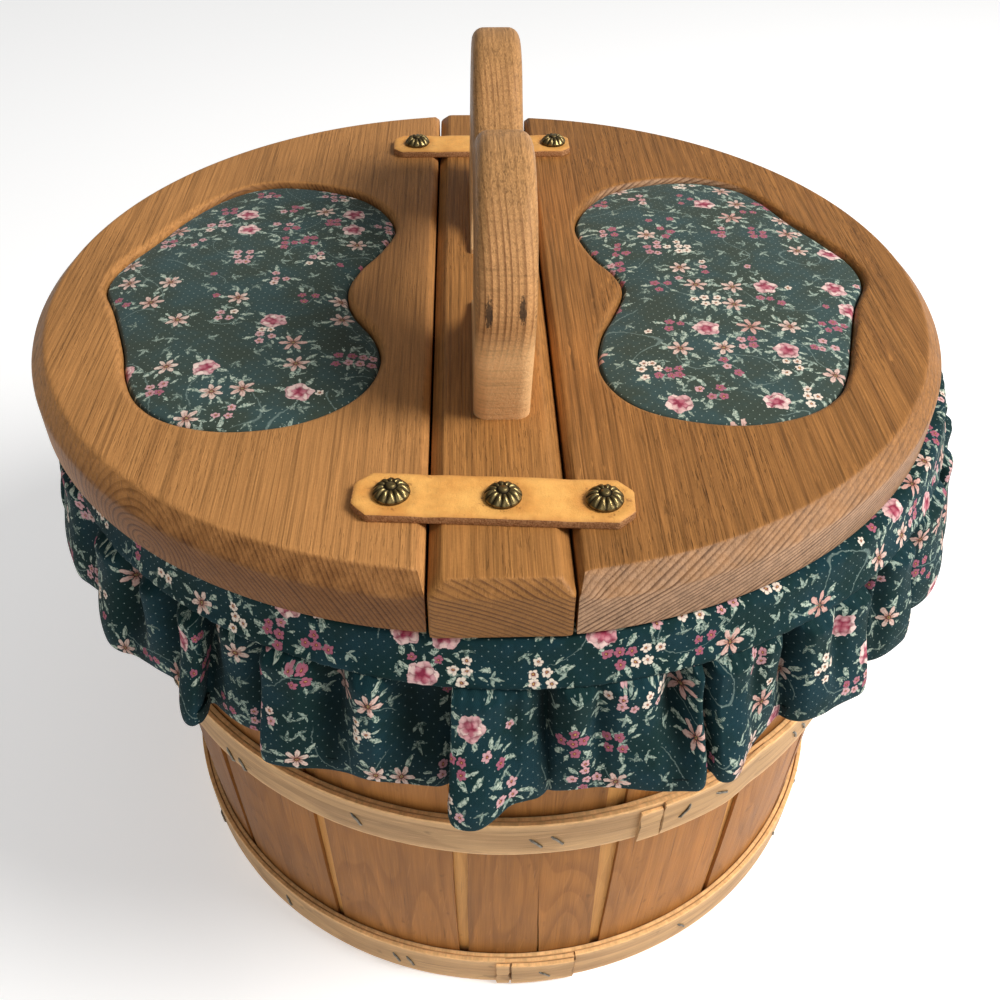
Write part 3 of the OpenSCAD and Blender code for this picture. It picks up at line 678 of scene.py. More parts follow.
def cap(loops, extra=()):
    """Triangles of the area inside the first loop and outside the others; the loops' points keep their order."""
    pts = [tuple(p) for lp in loops for p in lp] + [tuple(p) for p in extra]
    edges, base = [], 0
    for lp in loops:
        n = len(lp)
        edges += [(base + i, base + (i + 1) % n) for i in range(n)]
        base += n
    vs, _, fs, ov, _, _ = delaunay_2d_cdt([Vector(p) for p in pts], edges, [], 0, 1e-7)
    back = [o[0] if len(o) else -1 for o in ov]
    vs = np.array([tuple(v) for v in vs])
    cen = np.array([vs[list(f)].mean(axis=0) for f in fs])
    ok = inside(np.array(loops[0]), cen)
    for lp in loops[1:]:
        ok &= ~inside(np.array(lp), cen)
    out = []
    for f, k in zip(fs, ok):
        if k and all(back[i] >= 0 for i in f):
            a, b, c = (vs[i] for i in f)
            area = (b[0] - a[0]) * (c[1] - a[1]) - (b[1] - a[1]) * (c[0] - a[0])
            t = [back[i] for i in f]
            out.append(t if area > 0 else t[::-1])
    return out


def rings_to_faces(n, m, base=0, close=True):
    """Quads between m rings of n points each."""
    f = []
    for k in range(m - 1):
        for i in range(n if close else n - 1):
            a, b = base + k * n + i, base + k * n + (i + 1) % n
            f.append((a, b, b + n, a + n))
    return f


def bevel_profile(t, leg, e):
    """(height, inset) from the bottom edge to the flat of the top, t high."""
    q = [(0, 0.9), (0.3, 0.28), (0.9, 0.0), (t * 0.5, 0.0)]
    s0, c0, p1 = (t - leg - e, 0.0), (t - leg, 0.0), (t - leg + e * 0.7, e * 0.7)
    p2, c1, p3 = (t - e * 0.7, leg - e * 0.7), (t, leg), (t, leg + e)

    def bz(a, b, c, k):
        return tuple((1 - k) ** 2 * a[i] + 2 * k * (1 - k) * b[i] + k * k * c[i] for i in (0, 1))
    q += [s0, bz(s0, c0, p1, 0.33), bz(s0, c0, p1, 0.67), p1]
    q += [p2, bz(p2, c1, p3, 0.33), bz(p2, c1, p3, 0.67), p3, (t, leg + e + 0.9)]
    return q


EDGE_W = [0, 0.3, 0.2, 0, 0.25, 0.8, 1.0, 0.8, 0.8, 1.0, 0.8, 0.3, 0.0]


# ------------------------------------------------------------------ lids
KIDNEY = {-1: [[-38, 43], [-43, 60], [-56, 75], [-76, 84], [-97, 85], [-113, 75], [-126, 56], [-136, 33],
               [-145, 13], [-147, -3], [-140, -20], [-131, -45], [-126, -63], [-118, -79], [-105, -90], [-86, -95],
               [-66, -92], [-51, -83], [-42, -70], [-39, -54], [-42, -39], [-50, -24], [-54, -8], [-51, 7], [-43, 24]],
          1: [[37, 42], [42, 61], [54, 77], [73, 86], [94, 88], [112, 80], [122, 65], [129, 47],
              [138, 29], [145, 13], [146, -4], [138, -22], [130, -46], [124, -64], [116, -79], [102, -90], [82, -95],
              [62, -92], [47, -84], [39, -71], [37, -56], [40, -39], [46, -24], [51, -9], [49, 3], [42, 18]]}


def kidney(side, n=8):
    k = closed_curve(KIDNEY[side], n)
    k[:, 0] += BOARD_X
    area = 0.5 * np.sum(k[:, 0] * np.roll(k[:, 1], -1) - np.roll(k[:, 0], -1) * k[:, 1])
    return k if area > 0 else k[::-1].copy()


def outward(k):
    t = np.roll(k, -1, axis=0) - np.roll(k, 1, axis=0)
    t /= np.linalg.norm(t, axis=1)[:, None]
    return np.stack([t[:, 1], -t[:, 0]], axis=1)


def lid(side):
    name, body = ("lid_left", "left_lid") if side < 0 else ("lid_right", "right_lid")
    cx, cy = (BOARD_X - 2.6, 1.0) if side < 0 else (BOARD_X + 1.6, -0.8)
    x0 = BOARD_X + side * (BOARD_W / 2 + 0.8)
    arc = bevel_profile(LID_T, 6.0, 1.3 if side < 0 else 0.8)
    st = bevel_profile(LID_T, 2.2, 0.7)
    na, ns = 220, 110
    verts, edge = [], []
    outer = []
    for k in range(len(arc)):
        (za, ia), (zs, is_) = arc[k], st[k]
        X = x0 + side * is_
        R = LID_R - ia
        hy = math.sqrt(R * R - (X - cx) ** 2)
        a0 = math.atan2(-hy, X - cx)
        a1 = math.atan2(hy, X - cx)
        if side < 0:
            a1 -= 2 * PI
            span = a1 - a0        # negative: round the far side
        else:
            span = a1 - a0
        ring = []
        for i in range(na):
            a = a0 + span * i / (na - 1)
            near = min(i, na - 1 - i) / (na - 1) * abs(span) * R
            w = smooth(0, 7, near) * 0.5 + 0.5
            wob = 0.12 * nz(math.cos(a) * 3 + k * 0.11, math.sin(a) * 3, side * 4.0)
            ring.append(((cx + (R + wob) * math.cos(a)), cy + (R + wob) * math.sin(a), UNDER_Z + za * w + zs * (1 - w)))
        for j in range(1, ns - 1):
            y = cy + hy - 2 * hy * j / (ns - 1)
            near = min(j, ns - 1 - j) / (ns - 1) * 2 * hy
            w = 0.5 * (1 - smooth(0, 5, near))
            ring.append((X + 0.06 * nz(y * 0.03, k * 0.2, side), y, UNDER_Z + za * w + zs * (1 - w)))
        if side < 0:
            ring = ring[::-1]
        outer.append(ring)
        verts += ring
        edge += [EDGE_W[k]] * len(ring)
    n = len(outer[0])
    faces = rings_to_faces(n, len(outer))
    # rounded lip and wall of the cut-out
    kid = kidney(side)
    nrm = outward(kid)
    lip = [(LID_T, 3.5, 0), (LID_T, 2.8, 0.2)] + [(LID_T - 2.8 * (1 - math.cos(a)), 2.8 * (1 - math.sin(a)), 0.7) for a in np.radians([15, 30, 45, 60, 75, 90])]
    lip += [(LID_T * 0.4, 0, 0), (0.8, 0, 0), (0, 0.6, 0.2)]
    base = len(verts)
    holes = []
    for z, off, e in lip:
        q = kid + nrm * off
        holes.append(q)
        verts += [(a, b, UNDER_Z + z) for a, b in q]
        edge += [e] * len(q)
    m = len(kid)
    faces += rings_to_faces(m, len(lip), base)
    top = cap([np.array(outer[-1])[:, :2], holes[0]])
    t0, h0 = (len(outer) - 1) * n, base
    faces += [[(t0 + i) if i < n else (h0 + i - n) for i in f] for f in top]
    bot = cap([np.array(outer[0])[:, :2], holes[-1]])
    b0, h1 = 0, base + (len(lip) - 1) * m
    faces += [[(b0 + i) if i < n else (h1 + i - n) for i in f][::-1] for f in bot]
    return build(name + "_board", verts, faces, M_LEFT if side < 0 else M_RIGHT, body, (name,), {"edge": edge}, sharp=50)


for s in (-1, 1):
    lid(s)


# ------------------------------------------------------------------ centre board
def centre_board():
    t = TOP_Z - RIM_Z
    prof = bevel_profile(t, 4.0, 0.8)
    nl, ne = 160, 24
    verts, edge, rings = [], [], []
    for k, (z, i) in enumerate(prof):
        hx, hy = BOARD_W / 2 - i, LID_R - i
        pts = [(hx, -hy + 2 * hy * j / nl) for j in range(nl)]
        pts += [(hx - 2 * hx * j / ne, hy) for j in range(ne)]
        pts += [(-hx, hy - 2 * hy * j / nl) for j in range(nl)]
        pts += [(-hx + 2 * hx * j / ne, -hy) for j in range(ne)]
        ring = []
        for x, y in pts:
            c = math.hypot(max(0, abs(x) - hx + 1.2), max(0, abs(y) - hy + 1.2))
            pull = max(0.0, c - 1.2)
            x -= math.copysign(pull * 0.7, x)
            y -= math.copysign(pull * 0.7, y)
            x += 0.10 * nz(y * 0.04, k * 0.3, 7.0) * (1 if abs(x) > hx - 2 else 0)
            ring.append((BOARD_X + x, y, RIM_Z + z))
        rings.append(ring)
        verts += ring
        edge += [EDGE_W[k]] * len(ring)
    n = len(rings[0])
    faces = rings_to_faces(n, len(rings))
    faces += [[(len(rings) - 1) * n + i for i in f] for f in cap([np.array(rings[-1])[:, :2]])]
    faces += [list(f)[::-1] for f in cap([np.array(rings[0])[:, :2]])]
    build("centre_board_wood", verts, faces, M_BRIDGE, "basket", ("centre_board",), {"edge": edge}, sharp=50)


centre_board()


# ------------------------------------------------------------------ handle
def handle():
    hump = [[92, 0], [94, 12], [97, 28], [97.5, 42], [91, 55.5], [79, 66.5], [63, 73.5], [47, 75], [31, 71], [15, 61], [0, 55]]
    hole = [[18.5, 0], [20, 2.8], [28, 4.5], [38, 9], [44.5, 19.5], [40, 29.5], [27, 36.2], [12, 38.6], [0, 39]]

    def back(p):
        return [p[i] for i in range(len(p) - 2, -1, -1)]

    def flip(p):
        return [[-q[0], q[1]] for q in p]
    outer = open_curve(hump + back(flip(hump)), 10)
    inner = open_curve(flip(hole) + back(hole), 8)
    # points along the two flat feet
    foot_l = [[-92 + (92 - 18.5) * i / 24, 0.0] for i in range(1, 24)]
    foot_r = [[18.5 + (92 - 18.5) * i / 24, 0.0] for i in range(1, 24)]
    p = np.array(list(outer) + foot_l + list(inner) + foot_r)
    n = len(p)
    no = len(outer)
    i_in0, i_in1 = no + len(foot_l), no + len(foot_l) + len(inner)
    inward = np.zeros((n, 2))
    share = np.ones(n)
    for i in range(n):
        if p[i][1] < 0.01:
            if no <= i < i_in0 or i >= i_in1:
                inward[i] = (0, 0)
            elif i < no:
                inward[i] = (-math.copysign(1, p[i][0]), 0)
            else:
                inward[i] = (math.copysign(1, p[i][0]), 0)
        else:
            t = p[(i + 1) % n] - p[i - 1]
            t /= np.linalg.norm(t)
            inward[i] = (-t[1], t[0])
        if i_in0 <= i < i_in1:
            share[i] = min(1, max(0.25, (p[i][1] - 4) / 12 + 0.25))
    # p runs anticlockwise seen from +X, so inward points into the wood
    h, r = HANDLE_T / 2, 4.5
    prof = []
    for a in (90, 78, 64, 50, 36, 22, 10, 0):
        a = math.radians(a)
        prof.append((-(h - r + r * math.sin(a)), r * (1 - math.cos(a))))
    prof = [(-h, r + 0.5)] + prof + [(0.0, 0.0)] + [(-x, i) for x, i in reversed(prof)] + [(h, r + 0.5)]
    w = [0, 0.2, 0.5, 0.8, 1.0, 0.8, 0.5, 0.2, 0, 0] + [0, 0.2, 0.5, 0.8, 1.0, 0.8, 0.5, 0.2, 0]
    verts, edge, rings = [], [], []
    for k, (x, i) in enumerate(prof):
        q = p + inward * (i * share)[:, None]
        q[:, 1] = np.where(p[:, 1] < 0.01, 0.0, q[:, 1])
        rings.append(q)
        verts += [(HANDLE_X + x + 1.8 * b / 75 + 0.10 * nz(a * 0.03, b * 0.03, 2.0), a, TOP_Z + b) for a, b in q]
        edge += [w[k]] * n
    faces = rings_to_faces(n, len(rings))
    faces += [list(f)[::-1] for f in cap([rings[0]])]
    faces += [[(len(rings) - 1) * n + i for i in f] for f in cap([rings[-1]])]
    ob = build("handle_wood_board", verts, faces, M_HANDLE, "basket", ("handle",), {"edge": edge}, sharp=50)
    return ob


handle()


# ------------------------------------------------------------------ staves
def polar(a, r, z):
    a = math.radians(a)
    return (r * math.cos(a), r * math.sin(a), z)


def staves(name, off_out, off_in, first, gap, mat, replaces, ids, body="basket", cracks=(), z_top=RIM_Z):
    verts, faces, flat, dirt_and_shade, edge = [], [], [], [], []
    pitch = 360.0 / STAVE_N
    nu, nv = 16, 46
    for s in range(STAVE_N):
        a_l0, a_r0 = first + s * pitch, first + (s + 1) * pitch
        g0, g1 = gap * (0.85 + 0.5 * rng.random()), gap * (0.85 + 0.5 * rng.random())
        kid = ids + s
        parts = [(0, None)]
        for c_az, c_top, c_w in cracks:
            if a_l0 < c_az < a_r0:
                parts = [(-1, (c_az, c_top, c_w)), (1, (c_az, c_top, c_w))]
        for which, crack in parts:
            base = len(verts)
            for layer in (0, 1):
                for j in range(nv + 1):
                    v = j / nv
                    z = 0.5 + (z_top - 0.5) * v
                    narrow = 0.62 + 0.38 * smooth(0, 130, z)
                    la = a_l0 + g0 / 2 * narrow + 0.16 * nz(z * 0.025, kid * 3.1) + 0.06 * nz(z * 0.22, kid * 5.7)
                    ra = a_r0 - g1 / 2 * narrow + 0.16 * nz(z * 0.025, kid * 3.1 + 9) + 0.06 * nz(z * 0.22, kid * 5.7 + 9)
                    full_l, full_r = la, ra
                    if crack:
                        c_az, c_top, c_w = crack
                        mid = c_az - 0.7 * smooth(0, 80, z) + 0.10 * nz(z * 0.12, 3.3)
                        wd = c_w * (1 - smooth(0, c_top, z)) * 0.5 + 0.006
                        if which < 0:
                            ra = mid - wd
                        else:
                            la = mid + wd
                    for i in range(nu + 1):
                        u = i / nu
                        a = la + (ra - la) * u
                        uu = (a - full_l) / (full_r - full_l)
                        # the strip bows a little between the hoops and cups across
                        bow = 0.9 * math.sin(PI * min(1, max(0, (z - 18) / 90.0))) * math.sin(PI * uu) if z < 108 else 0.5 * math.sin(PI * min(1, (z - 128) / 86.0)) * math.sin(PI * uu) if z > 128 else 0.0
                        bow += 0.30 * nz(uu * 2.0, z * 0.012, kid * 1.9) * (1 if 18 < z < 215 else 0)
                        lift = 0.35 * (abs(uu - 0.5) * 2) ** 6 * math.sin(PI * min(1, max(0, (z - 18) / 90.0))) if 18 < z < 108 else 0.0
                        cut = 0.0
                        if crack and z < crack[1]:
                            cut = 0.35 * math.exp(-abs(a - mid) / 0.7) * (1 - z / crack[1]) * (1 if which > 0 else -0.4)
                        r = wall_r(z) + (off_out if layer == 0 else off_in) + bow * (0.8 if off_out == 0 else 0.3) + lift * (1 if off_out == 0 else 0) + cut
                        if off_out == 0:
                            r = min(r, wall_r(z) + (1.6 if 20 < z < 106 or z > 130 else 0.0))
                        verts.append(polar(a, r, z))
                        flat.append((z, (a - full_l) * 2.75, float(kid)))
                        near = min(uu, 1 - uu) * (full_r - full_l) * 2.75
                        # painted shade: darker along the stave gaps and just beside the hoops' edges, where shade falls
                        dirt_and_shade.append(0.30 * math.exp(-near / 1.6) + (0.55 * math.exp(-abs(z - 18.6) / 1.6) if off_out == 0 else 0)
                                    + (0.50 * math.exp(-abs(z - 107.5) / 1.8) if off_out == 0 else 0)
                                    + (0.45 * math.exp(-abs(z - 128.5) / 1.5) if off_out == 0 else 0))
                        edge.append(0.5 * math.exp(-near / 0.7))
            n1 = nu + 1
            lay = n1 * (nv + 1)
            for j in range(nv):
                for i in range(nu):
                    q = base + j * n1 + i
                    faces.append((q, q + 1, q + 1 + n1, q + n1))
                    q += lay
                    faces.append((q, q + n1, q + 1 + n1, q + 1))
            for j in range(nv):
                q = base + j * n1
                faces.append((q, q + n1, q + n1 + lay, q + lay))
                q = base + j * n1 + nu
                faces.append((q, q + lay, q + lay + n1, q + n1))
            for i in range(nu):
                q = base + i
                faces.append((q, q + lay, q + 1 + lay, q + 1))
                q = base + nv * n1 + i
                faces.append((q, q + 1, q + 1 + lay, q + lay))
    return build(name, verts, faces, mat, body, replaces, {"flat": flat, "dirt_and_shade": dirt_and_shade, "edge": edge}, sharp=40)


staves("outer_staves", 0.0, -STAVE_T, STAVE_TURN, 2.25, M_OUTER, ("staves_outer",), 1, cracks=[(-86.0, 84.0, 0.34)])
staves("inner_staves", -STAVE_T - 0.05, -2 * STAVE_T, STAVE_TURN - 180.0 / STAVE_N, 0.7, M_INNER, ("staves_inner",), 40)


# ------------------------------------------------------------------ hoops
def band(verts, faces, flat, edge, dirt_and_shade, az0, az1, z0, z1, off0, off1, kid, closed=False, step=0.75, ragged=0.0, z_wave=0.25, seed=0.0):
    """One ply of a hoop. z0, z1, off0 and off1 are numbers or functions of the azimuth."""
    def val(f, a):
        return f(a) if callable(f) else f
    cols = int(round((az1 - az0) / step)) + (0 if closed else 1)
    sec = [(0.0, 0.15, 0), (0.0, 0.5, 0), (0.0, 0.85, 0.2), (0.03, 0.97, 0.8), (0.07, 1.0, 0.6), (0.2, 1.02, 0), (0.35, 1.03, 0), (0.5, 1.03, 0),
           (0.65, 1.03, 0), (0.8, 1.02, 0), (0.93, 1.0, 0.6), (0.975, 0.97, 0.9), (1.0, 0.85, 1.0), (1.0, 0.5, 1.0), (1.0, 0.15, 0.7),
           (0.97, 0.0, 0.2), (0.6, 0.0, 0), (0.3, 0.0, 0), (0.03, 0.0, 0)]
    m = len(sec)
    base = len(verts)
    for c in range(cols):
        a = az0 + (az1 - az0) * c / (cols if closed else cols - 1)
        lo, hi = val(z0, a), val(z1, a)
        lo += z_wave * nz(math.cos(math.radians(a)) * 9 + seed, math.sin(math.radians(a)) * 9, kid * 2.3)
        hi += z_wave * nz(math.cos(math.radians(a)) * 11 + seed, math.sin(math.radians(a)) * 11, kid * 4.1 + 5)
        end = min(c, cols - 1 - c)
        for (v, t, e) in sec:
            z = lo + (hi - lo) * v
            if v in (0.0, 1.0) or e > 0.5:
                z += 0.14 * nz(a * 1.9, t * 3, kid + 3.7)
            aa = a
            if not closed and end == 0 and ragged:
                aa += ragged * nz(z * 0.9, kid * 7.7, 1.0) * (1 if c else -1) + ragged * 0.4 * nz(z * 3.0, kid, 2.0)
            z = max(0.0, z)
            i0, i1 = val(off0, a), val(off1, a)
            r = wall_r(z) + i0 + (i1 - i0) * t + 0.10 * nz(a * 0.12, z * 0.1, kid) * t
            verts.append(polar(aa, r, z))
            flat.append((a * 2.8, z - lo, float(kid)))
            edge.append(e)
            dirt_and_shade.append(0.0 if e else 0.12 * max(0.0, nz(a * 0.4, z * 0.2, kid)))
    for c in range(cols if closed else cols - 1):
        for i in range(m):
            a_, b_ = base + c * m + i, base + c * m + (i + 1) % m
            c_ = base + ((c + 1) % cols) * m
            faces.append((a_, b_, c_ + (i + 1) % m, c_ + i))
    if not closed:
        faces.append([base + i for i in range(m)][::-1])
        faces.append([base + (cols - 1) * m + i for i in range(m)])


def hoops():
    # bottom hoop: two plies, the outer one ending in a raised, stapled tail
    v, f, fl, e, d = [], [], [], [], []
    band(v, f, fl, e, d, 0, 360, 0.2, 18.6, 0.0, 2.0, 101, closed=True, z_wave=0.35)
    band(v, f, fl, e, d, -80.3, -80.3 + 349.0, 0.05, 19.0, 2.1, 4.15, 102, ragged=0.18)
    band(v, f, fl, e, d, -91.6, -80.4, 0.1, 18.2, 2.1, 4.0, 103)
    band(v, f, fl, e, d, -90.3, -80.7, lambda a: 1.2 + 0.05 * (a + 90), lambda a: 17.9 - 0.06 * (a + 90), 4.05, 5.9, 104, ragged=0.45, step=0.35, z_wave=0.5)
    band(v, f, fl, e, d, -92.6, -90.75, 0.6, 17.2, 4.05, 5.5, 105, ragged=0.25, step=0.3, z_wave=0.5)
    build("bottom_hoop", v, f, M_HOOP, "basket", ("hoop_bottom",), {"flat": fl, "edge": e, "dirt_and_shade": d}, sharp=45)
    # middle hoop
    v, f, fl, e, d = [], [], [], [], []
    band(v, f, fl, e, d, 0, 360, 108.1, 127.8, 0.0, 2.0, 111, closed=True, z_wave=0.35)
    band(v, f, fl, e, d, -60.0, 300.0 - 4.0, 108.0, 128.0, 2.1, 4.15, 112, ragged=0.1)
    band(v, f, fl, e, d, -64.2, -59.4, 108.2, 127.8, 2.1, 4.1, 113)
    up = lambda a: 4.1 + 1.75 * (1 - smooth(-61.0, -53.5, a))
    inn = lambda a: 2.3 + 1.80 * (1 - smooth(-61.0, -53.5, a))
    band(v, f, fl, e, d, -70.7, -53.0, lambda a: 107.6 + 0.06 * (a + 72), lambda a: 127.6 + 0.06 * (a + 72), inn, up, 114, ragged=0.50, step=0.35, z_wave=0.6)
    band(v, f, fl, e, d, -73.9, -70.95, 107.2, 126.0, 4.1, 5.6, 115, ragged=0.30, step=0.3, z_wave=0.6)
    build("middle_hoop", v, f, M_HOOP, "basket", ("hoop_middle",), {"flat": fl, "edge": e, "dirt_and_shade": d}, sharp=45)
    # rim hoops, outside and inside
    v, f, fl, e, d = [], [], [], [], []
    band(v, f, fl, e, d, 0, 360, RIM_Z - RIM_H, RIM_Z - 0.8, 0.0, RIM_T - 0.1, 121, closed=True, z_wave=0.2)
    build("outer_rim", v, f, M_HOOP, "basket", ("hoop_rim_outer",), {"flat": fl, "edge": e, "dirt_and_shade": d}, sharp=45)
    v, f, fl, e, d = [], [], [], [], []
    lo, hi = -2 * STAVE_T, -2 * STAVE_T - RIM_IN_T
    band(v, f, fl, e, d, 0, 360, RIM_Z - RIM_H, RIM_Z - 0.3, lo, hi, 122, closed=True, z_wave=0.2)
    f = [q[::-1] for q in f]
    build("inner_rim", v, f, M_HOOP, "basket", ("hoop_rim_inner",), {"flat": fl, "edge": e, "dirt_and_shade": d}, sharp=45)


hoops()


# ------------------------------------------------------------------ staples
def tube(verts, faces, path, rad, sides=8):
    path = [Vector(p) for p in path]
    base = len(verts)
    up = Vector((0, 0, 1))
    for i, p in enumerate(path):
        t = (path[min(i + 1, len(path) - 1)] - path[max(i - 1, 0)]).normalized()
        if abs(t.dot(up)) > 0.95:
            up = Vector((1, 0, 0))
        a = t.cross(up).normalized()
        b = t.cross(a).normalized()
        up = -b if b.dot(up) < 0 else b
        for k in range(sides):
            w = 2 * PI * k / sides
            verts.append(tuple(p + (a * math.cos(w) + b * math.sin(w)) * rad))
    n = sides
    for i in range(len(path) - 1):
        for k in range(n):
            q, q1 = base + i * n + k, base + i * n + (k + 1) % n
            faces.append((q, q1, q1 + n, q + n))
    faces.append([base + k for k in range(n)][::-1])
    faces.append([base + (len(path) - 1) * n + k for k in range(n)])


def staples(name, items, replaces):
    """Each item: azimuth, height, tilt in degrees from upright, offset of the surface from the wall."""
    verts, faces = [], []
    for k, (az, z, tilt, off) in enumerate(items):
        t = math.radians(tilt)
        L = 8.2 + 1.2 * nz(k * 1.7, 0.3)
        path = []
        for s in np.linspace(-1, 1, 13):
            along = s * L / 2
            out = 0.42 - 1.9 * max(0.0, abs(s) - 0.78) / 0.22 + 0.12 * nz(s * 2 + k, 4.0)
            bow = (0.60 + 0.30 * nz(k * 3.1, 7.0)) * (1.0 - s * s)
            zz = z + along * math.cos(t) - bow * math.sin(t)
            aa = az + (along * math.sin(t) + bow * math.cos(t) + 0.25 * math.sin(s * 2.2)) / 2.8
            path.append(polar(aa, wall_r(zz) + off + out, zz))
        tube(verts, faces, path, 0.46)
    build(name, verts, faces, M_STAPLE, "basket", replaces, sharp=60)


def auto_staples(z, off, pairs, have, tilt):
    """Staples for the staves that the front list doesn't cover."""
    out = []
    for i in range(STAVE_N):
        a = STAVE_TURN + (i + 0.5) * 360.0 / STAVE_N
        a = (a + 180) % 360 - 180
        if have[0] < a < have[1]:
            continue
        j = 1.6 * nz(i * 2.3, z)
        for s in ((-1.2, 1.2) if i % pairs == 0 else (0,)):
            out.append((a + j + s, z + 1.5 * nz(i * 1.3, z + s), tilt + 10 * nz(i * 0.9, z), off))
    return out


staples("middle_staples", [(-133.8, 112, -28, 4.2), (-131.2, 112, -28, 4.2), (-111.6, 117, -34, 4.2), (-87.7, 116, -42, 4.2), (-84.9, 117, -42, 4.2),
                           (-67.6, 119, 30, 5.9), (-61.7, 119.5, -62, 5.9)] + auto_staples(118.0, 4.2, 2, (-140, -52), -34), ("staples_middle",))
staples("bottom_staples", [(-129.8, 8, -22, 4.2), (-108.8, 8.5, -30, 4.2), (-106.5, 8.5, -30, 4.2), (-85.2, 8.8, -48, 5.7), (-61.3, 9, -40, 4.2),
                           (-36.2, 8.5, -30, 4.2)] + auto_staples(8.6, 4.2, 3, (-140, -30), -32), ("staples_bottom",))
rim = [(a, RIM_Z - 12.0, -32, RIM_T - 0.1) for a in np.arange(-172, 180, 360 / 17.0) if min(abs(a - 90), abs(a + 90)) > 9]
staples("rim_staples", rim, ("staples_rim",))


# ------------------------------------------------------------------ padded inserts
def pad(side):
    name, body = ("pad_left", "left_lid") if side < 0 else ("pad_right", "right_lid")
    k = kidney(side, 8)
    nrm = outward(k)
    # tight membrane blown up over the outline, on a 1.5 mm grid
    lo, hi = k.min(axis=0) - 3, k.max(axis=0) + 3
    h = 1.5
    gx = np.arange(lo[0], hi[0], h)
    gy = np.arange(lo[1], hi[1], h)
    X, Y = np.meshgrid(gx, gy, indexing="ij")
    inn = inside(k - nrm * 0.6, np.stack([X.ravel(), Y.ravel()], 1)).reshape(X.shape)
    phi = np.zeros(X.shape)
    w = 1.93
    ii, jj = np.meshgrid(np.arange(X.shape[0]), np.arange(X.shape[1]), indexing="ij")
    red = ((ii + jj) % 2 == 0) & inn
    blk = ((ii + jj) % 2 == 1) & inn
    for it in range(260):
        for msk in (red, blk):
            av = np.zeros_like(phi)
            av[1:-1, 1:-1] = 0.25 * (phi[2:, 1:-1] + phi[:-2, 1:-1] + phi[1:-1, 2:] + phi[1:-1, :-2] + h * h * 0.01)
            phi[msk] += w * (av[msk] - phi[msk])
    phi /= phi.max()

    def crown(x, y):
        fx, fy = (x - gx[0]) / h, (y - gy[0]) / h
        i, j = int(fx), int(fy)
        i, j = min(max(i, 0), len(gx) - 2), min(max(j, 0), len(gy) - 2)
        a, b = fx - i, fy - j
        v = phi[i, j] * (1 - a) * (1 - b) + phi[i + 1, j] * a * (1 - b) + phi[i, j + 1] * (1 - a) * b + phi[i + 1, j + 1] * a * b
        return max(0.0, v)
    z_edge, rise = 252.4, 4.7
    rows = [(-7.0, 0.45), (-5.0, 0.30), (-2.6, 0.25), (-1.0, 0.30), (0.0, 0.45), (0.8, 0.75)]
    verts = []
    for dz, inset in rows:
        verts += [(a, b, z_edge + dz) for a, b in k - nrm * inset]
    tops = [1.3, 2.2, 3.4, 5.0, 7.0]
    prev = None
    for t in tops:
        q = k - nrm * t
        verts += [(a, b, z_edge + 0.8 + (rise - 0.8) * crown(a, b) ** 0.42) for a, b in q]
        prev = q
    n = len(k)
    m = len(rows) + len(tops)
    faces = rings_to_faces(n, m)
    base = len(verts)
    ex = []
    sp = 4.0
    j = 0
    y = lo[1]
    inner_line = prev - outward(prev) * 2.2
    while y < hi[1]:
        x = lo[0] + (sp / 2 if j % 2 else 0)
        while x < hi[0]:
            ex.append((x, y))
            x += sp
        y += sp * 0.866
        j += 1
    ex = np.array(ex)
    ex = ex[inside(inner_line, ex)]
    for a, b in ex:
        verts.append((a, b, z_edge + 0.8 + (rise - 0.8) * crown(a, b) ** 0.42))
    tri = cap([prev], ex)
    o = (m - 1) * n
    faces += [[(o + i) if i < n else (base + i - n) for i in f] for f in tri]
    faces += [list(f)[::-1] for f in cap([k - nrm * rows[0][1]])]
    verts = np.array(verts)
    for i in range(len(verts)):
        a, b, c = verts[i]
        if c > z_edge + 0.5:
            verts[i, 2] += 0.16 * nz(a * 0.05, b * 0.05, side * 3.0) + 0.05 * nz(a * 0.22, b * 0.22, 1.0)
    flat = [(a + (0 if side < 0 else 300) + 0.5 * (z_edge - min(c, z_edge)), b + 40.0 * side, 0.0) for a, b, c in verts]
    ob = build(name + "_cover", verts, faces, M_CALICO_PAD_LIT, body, (name,), {"flat": flat}, sharp=None)
    md = ob.modifiers.new("smooth_cloth", "SUBSURF")
    md.levels = md.render_levels = 1
    return ob


for s in (-1, 1):
    pad(s)


# ------------------------------------------------------------------ skirt
SEAM_Z = 218.5
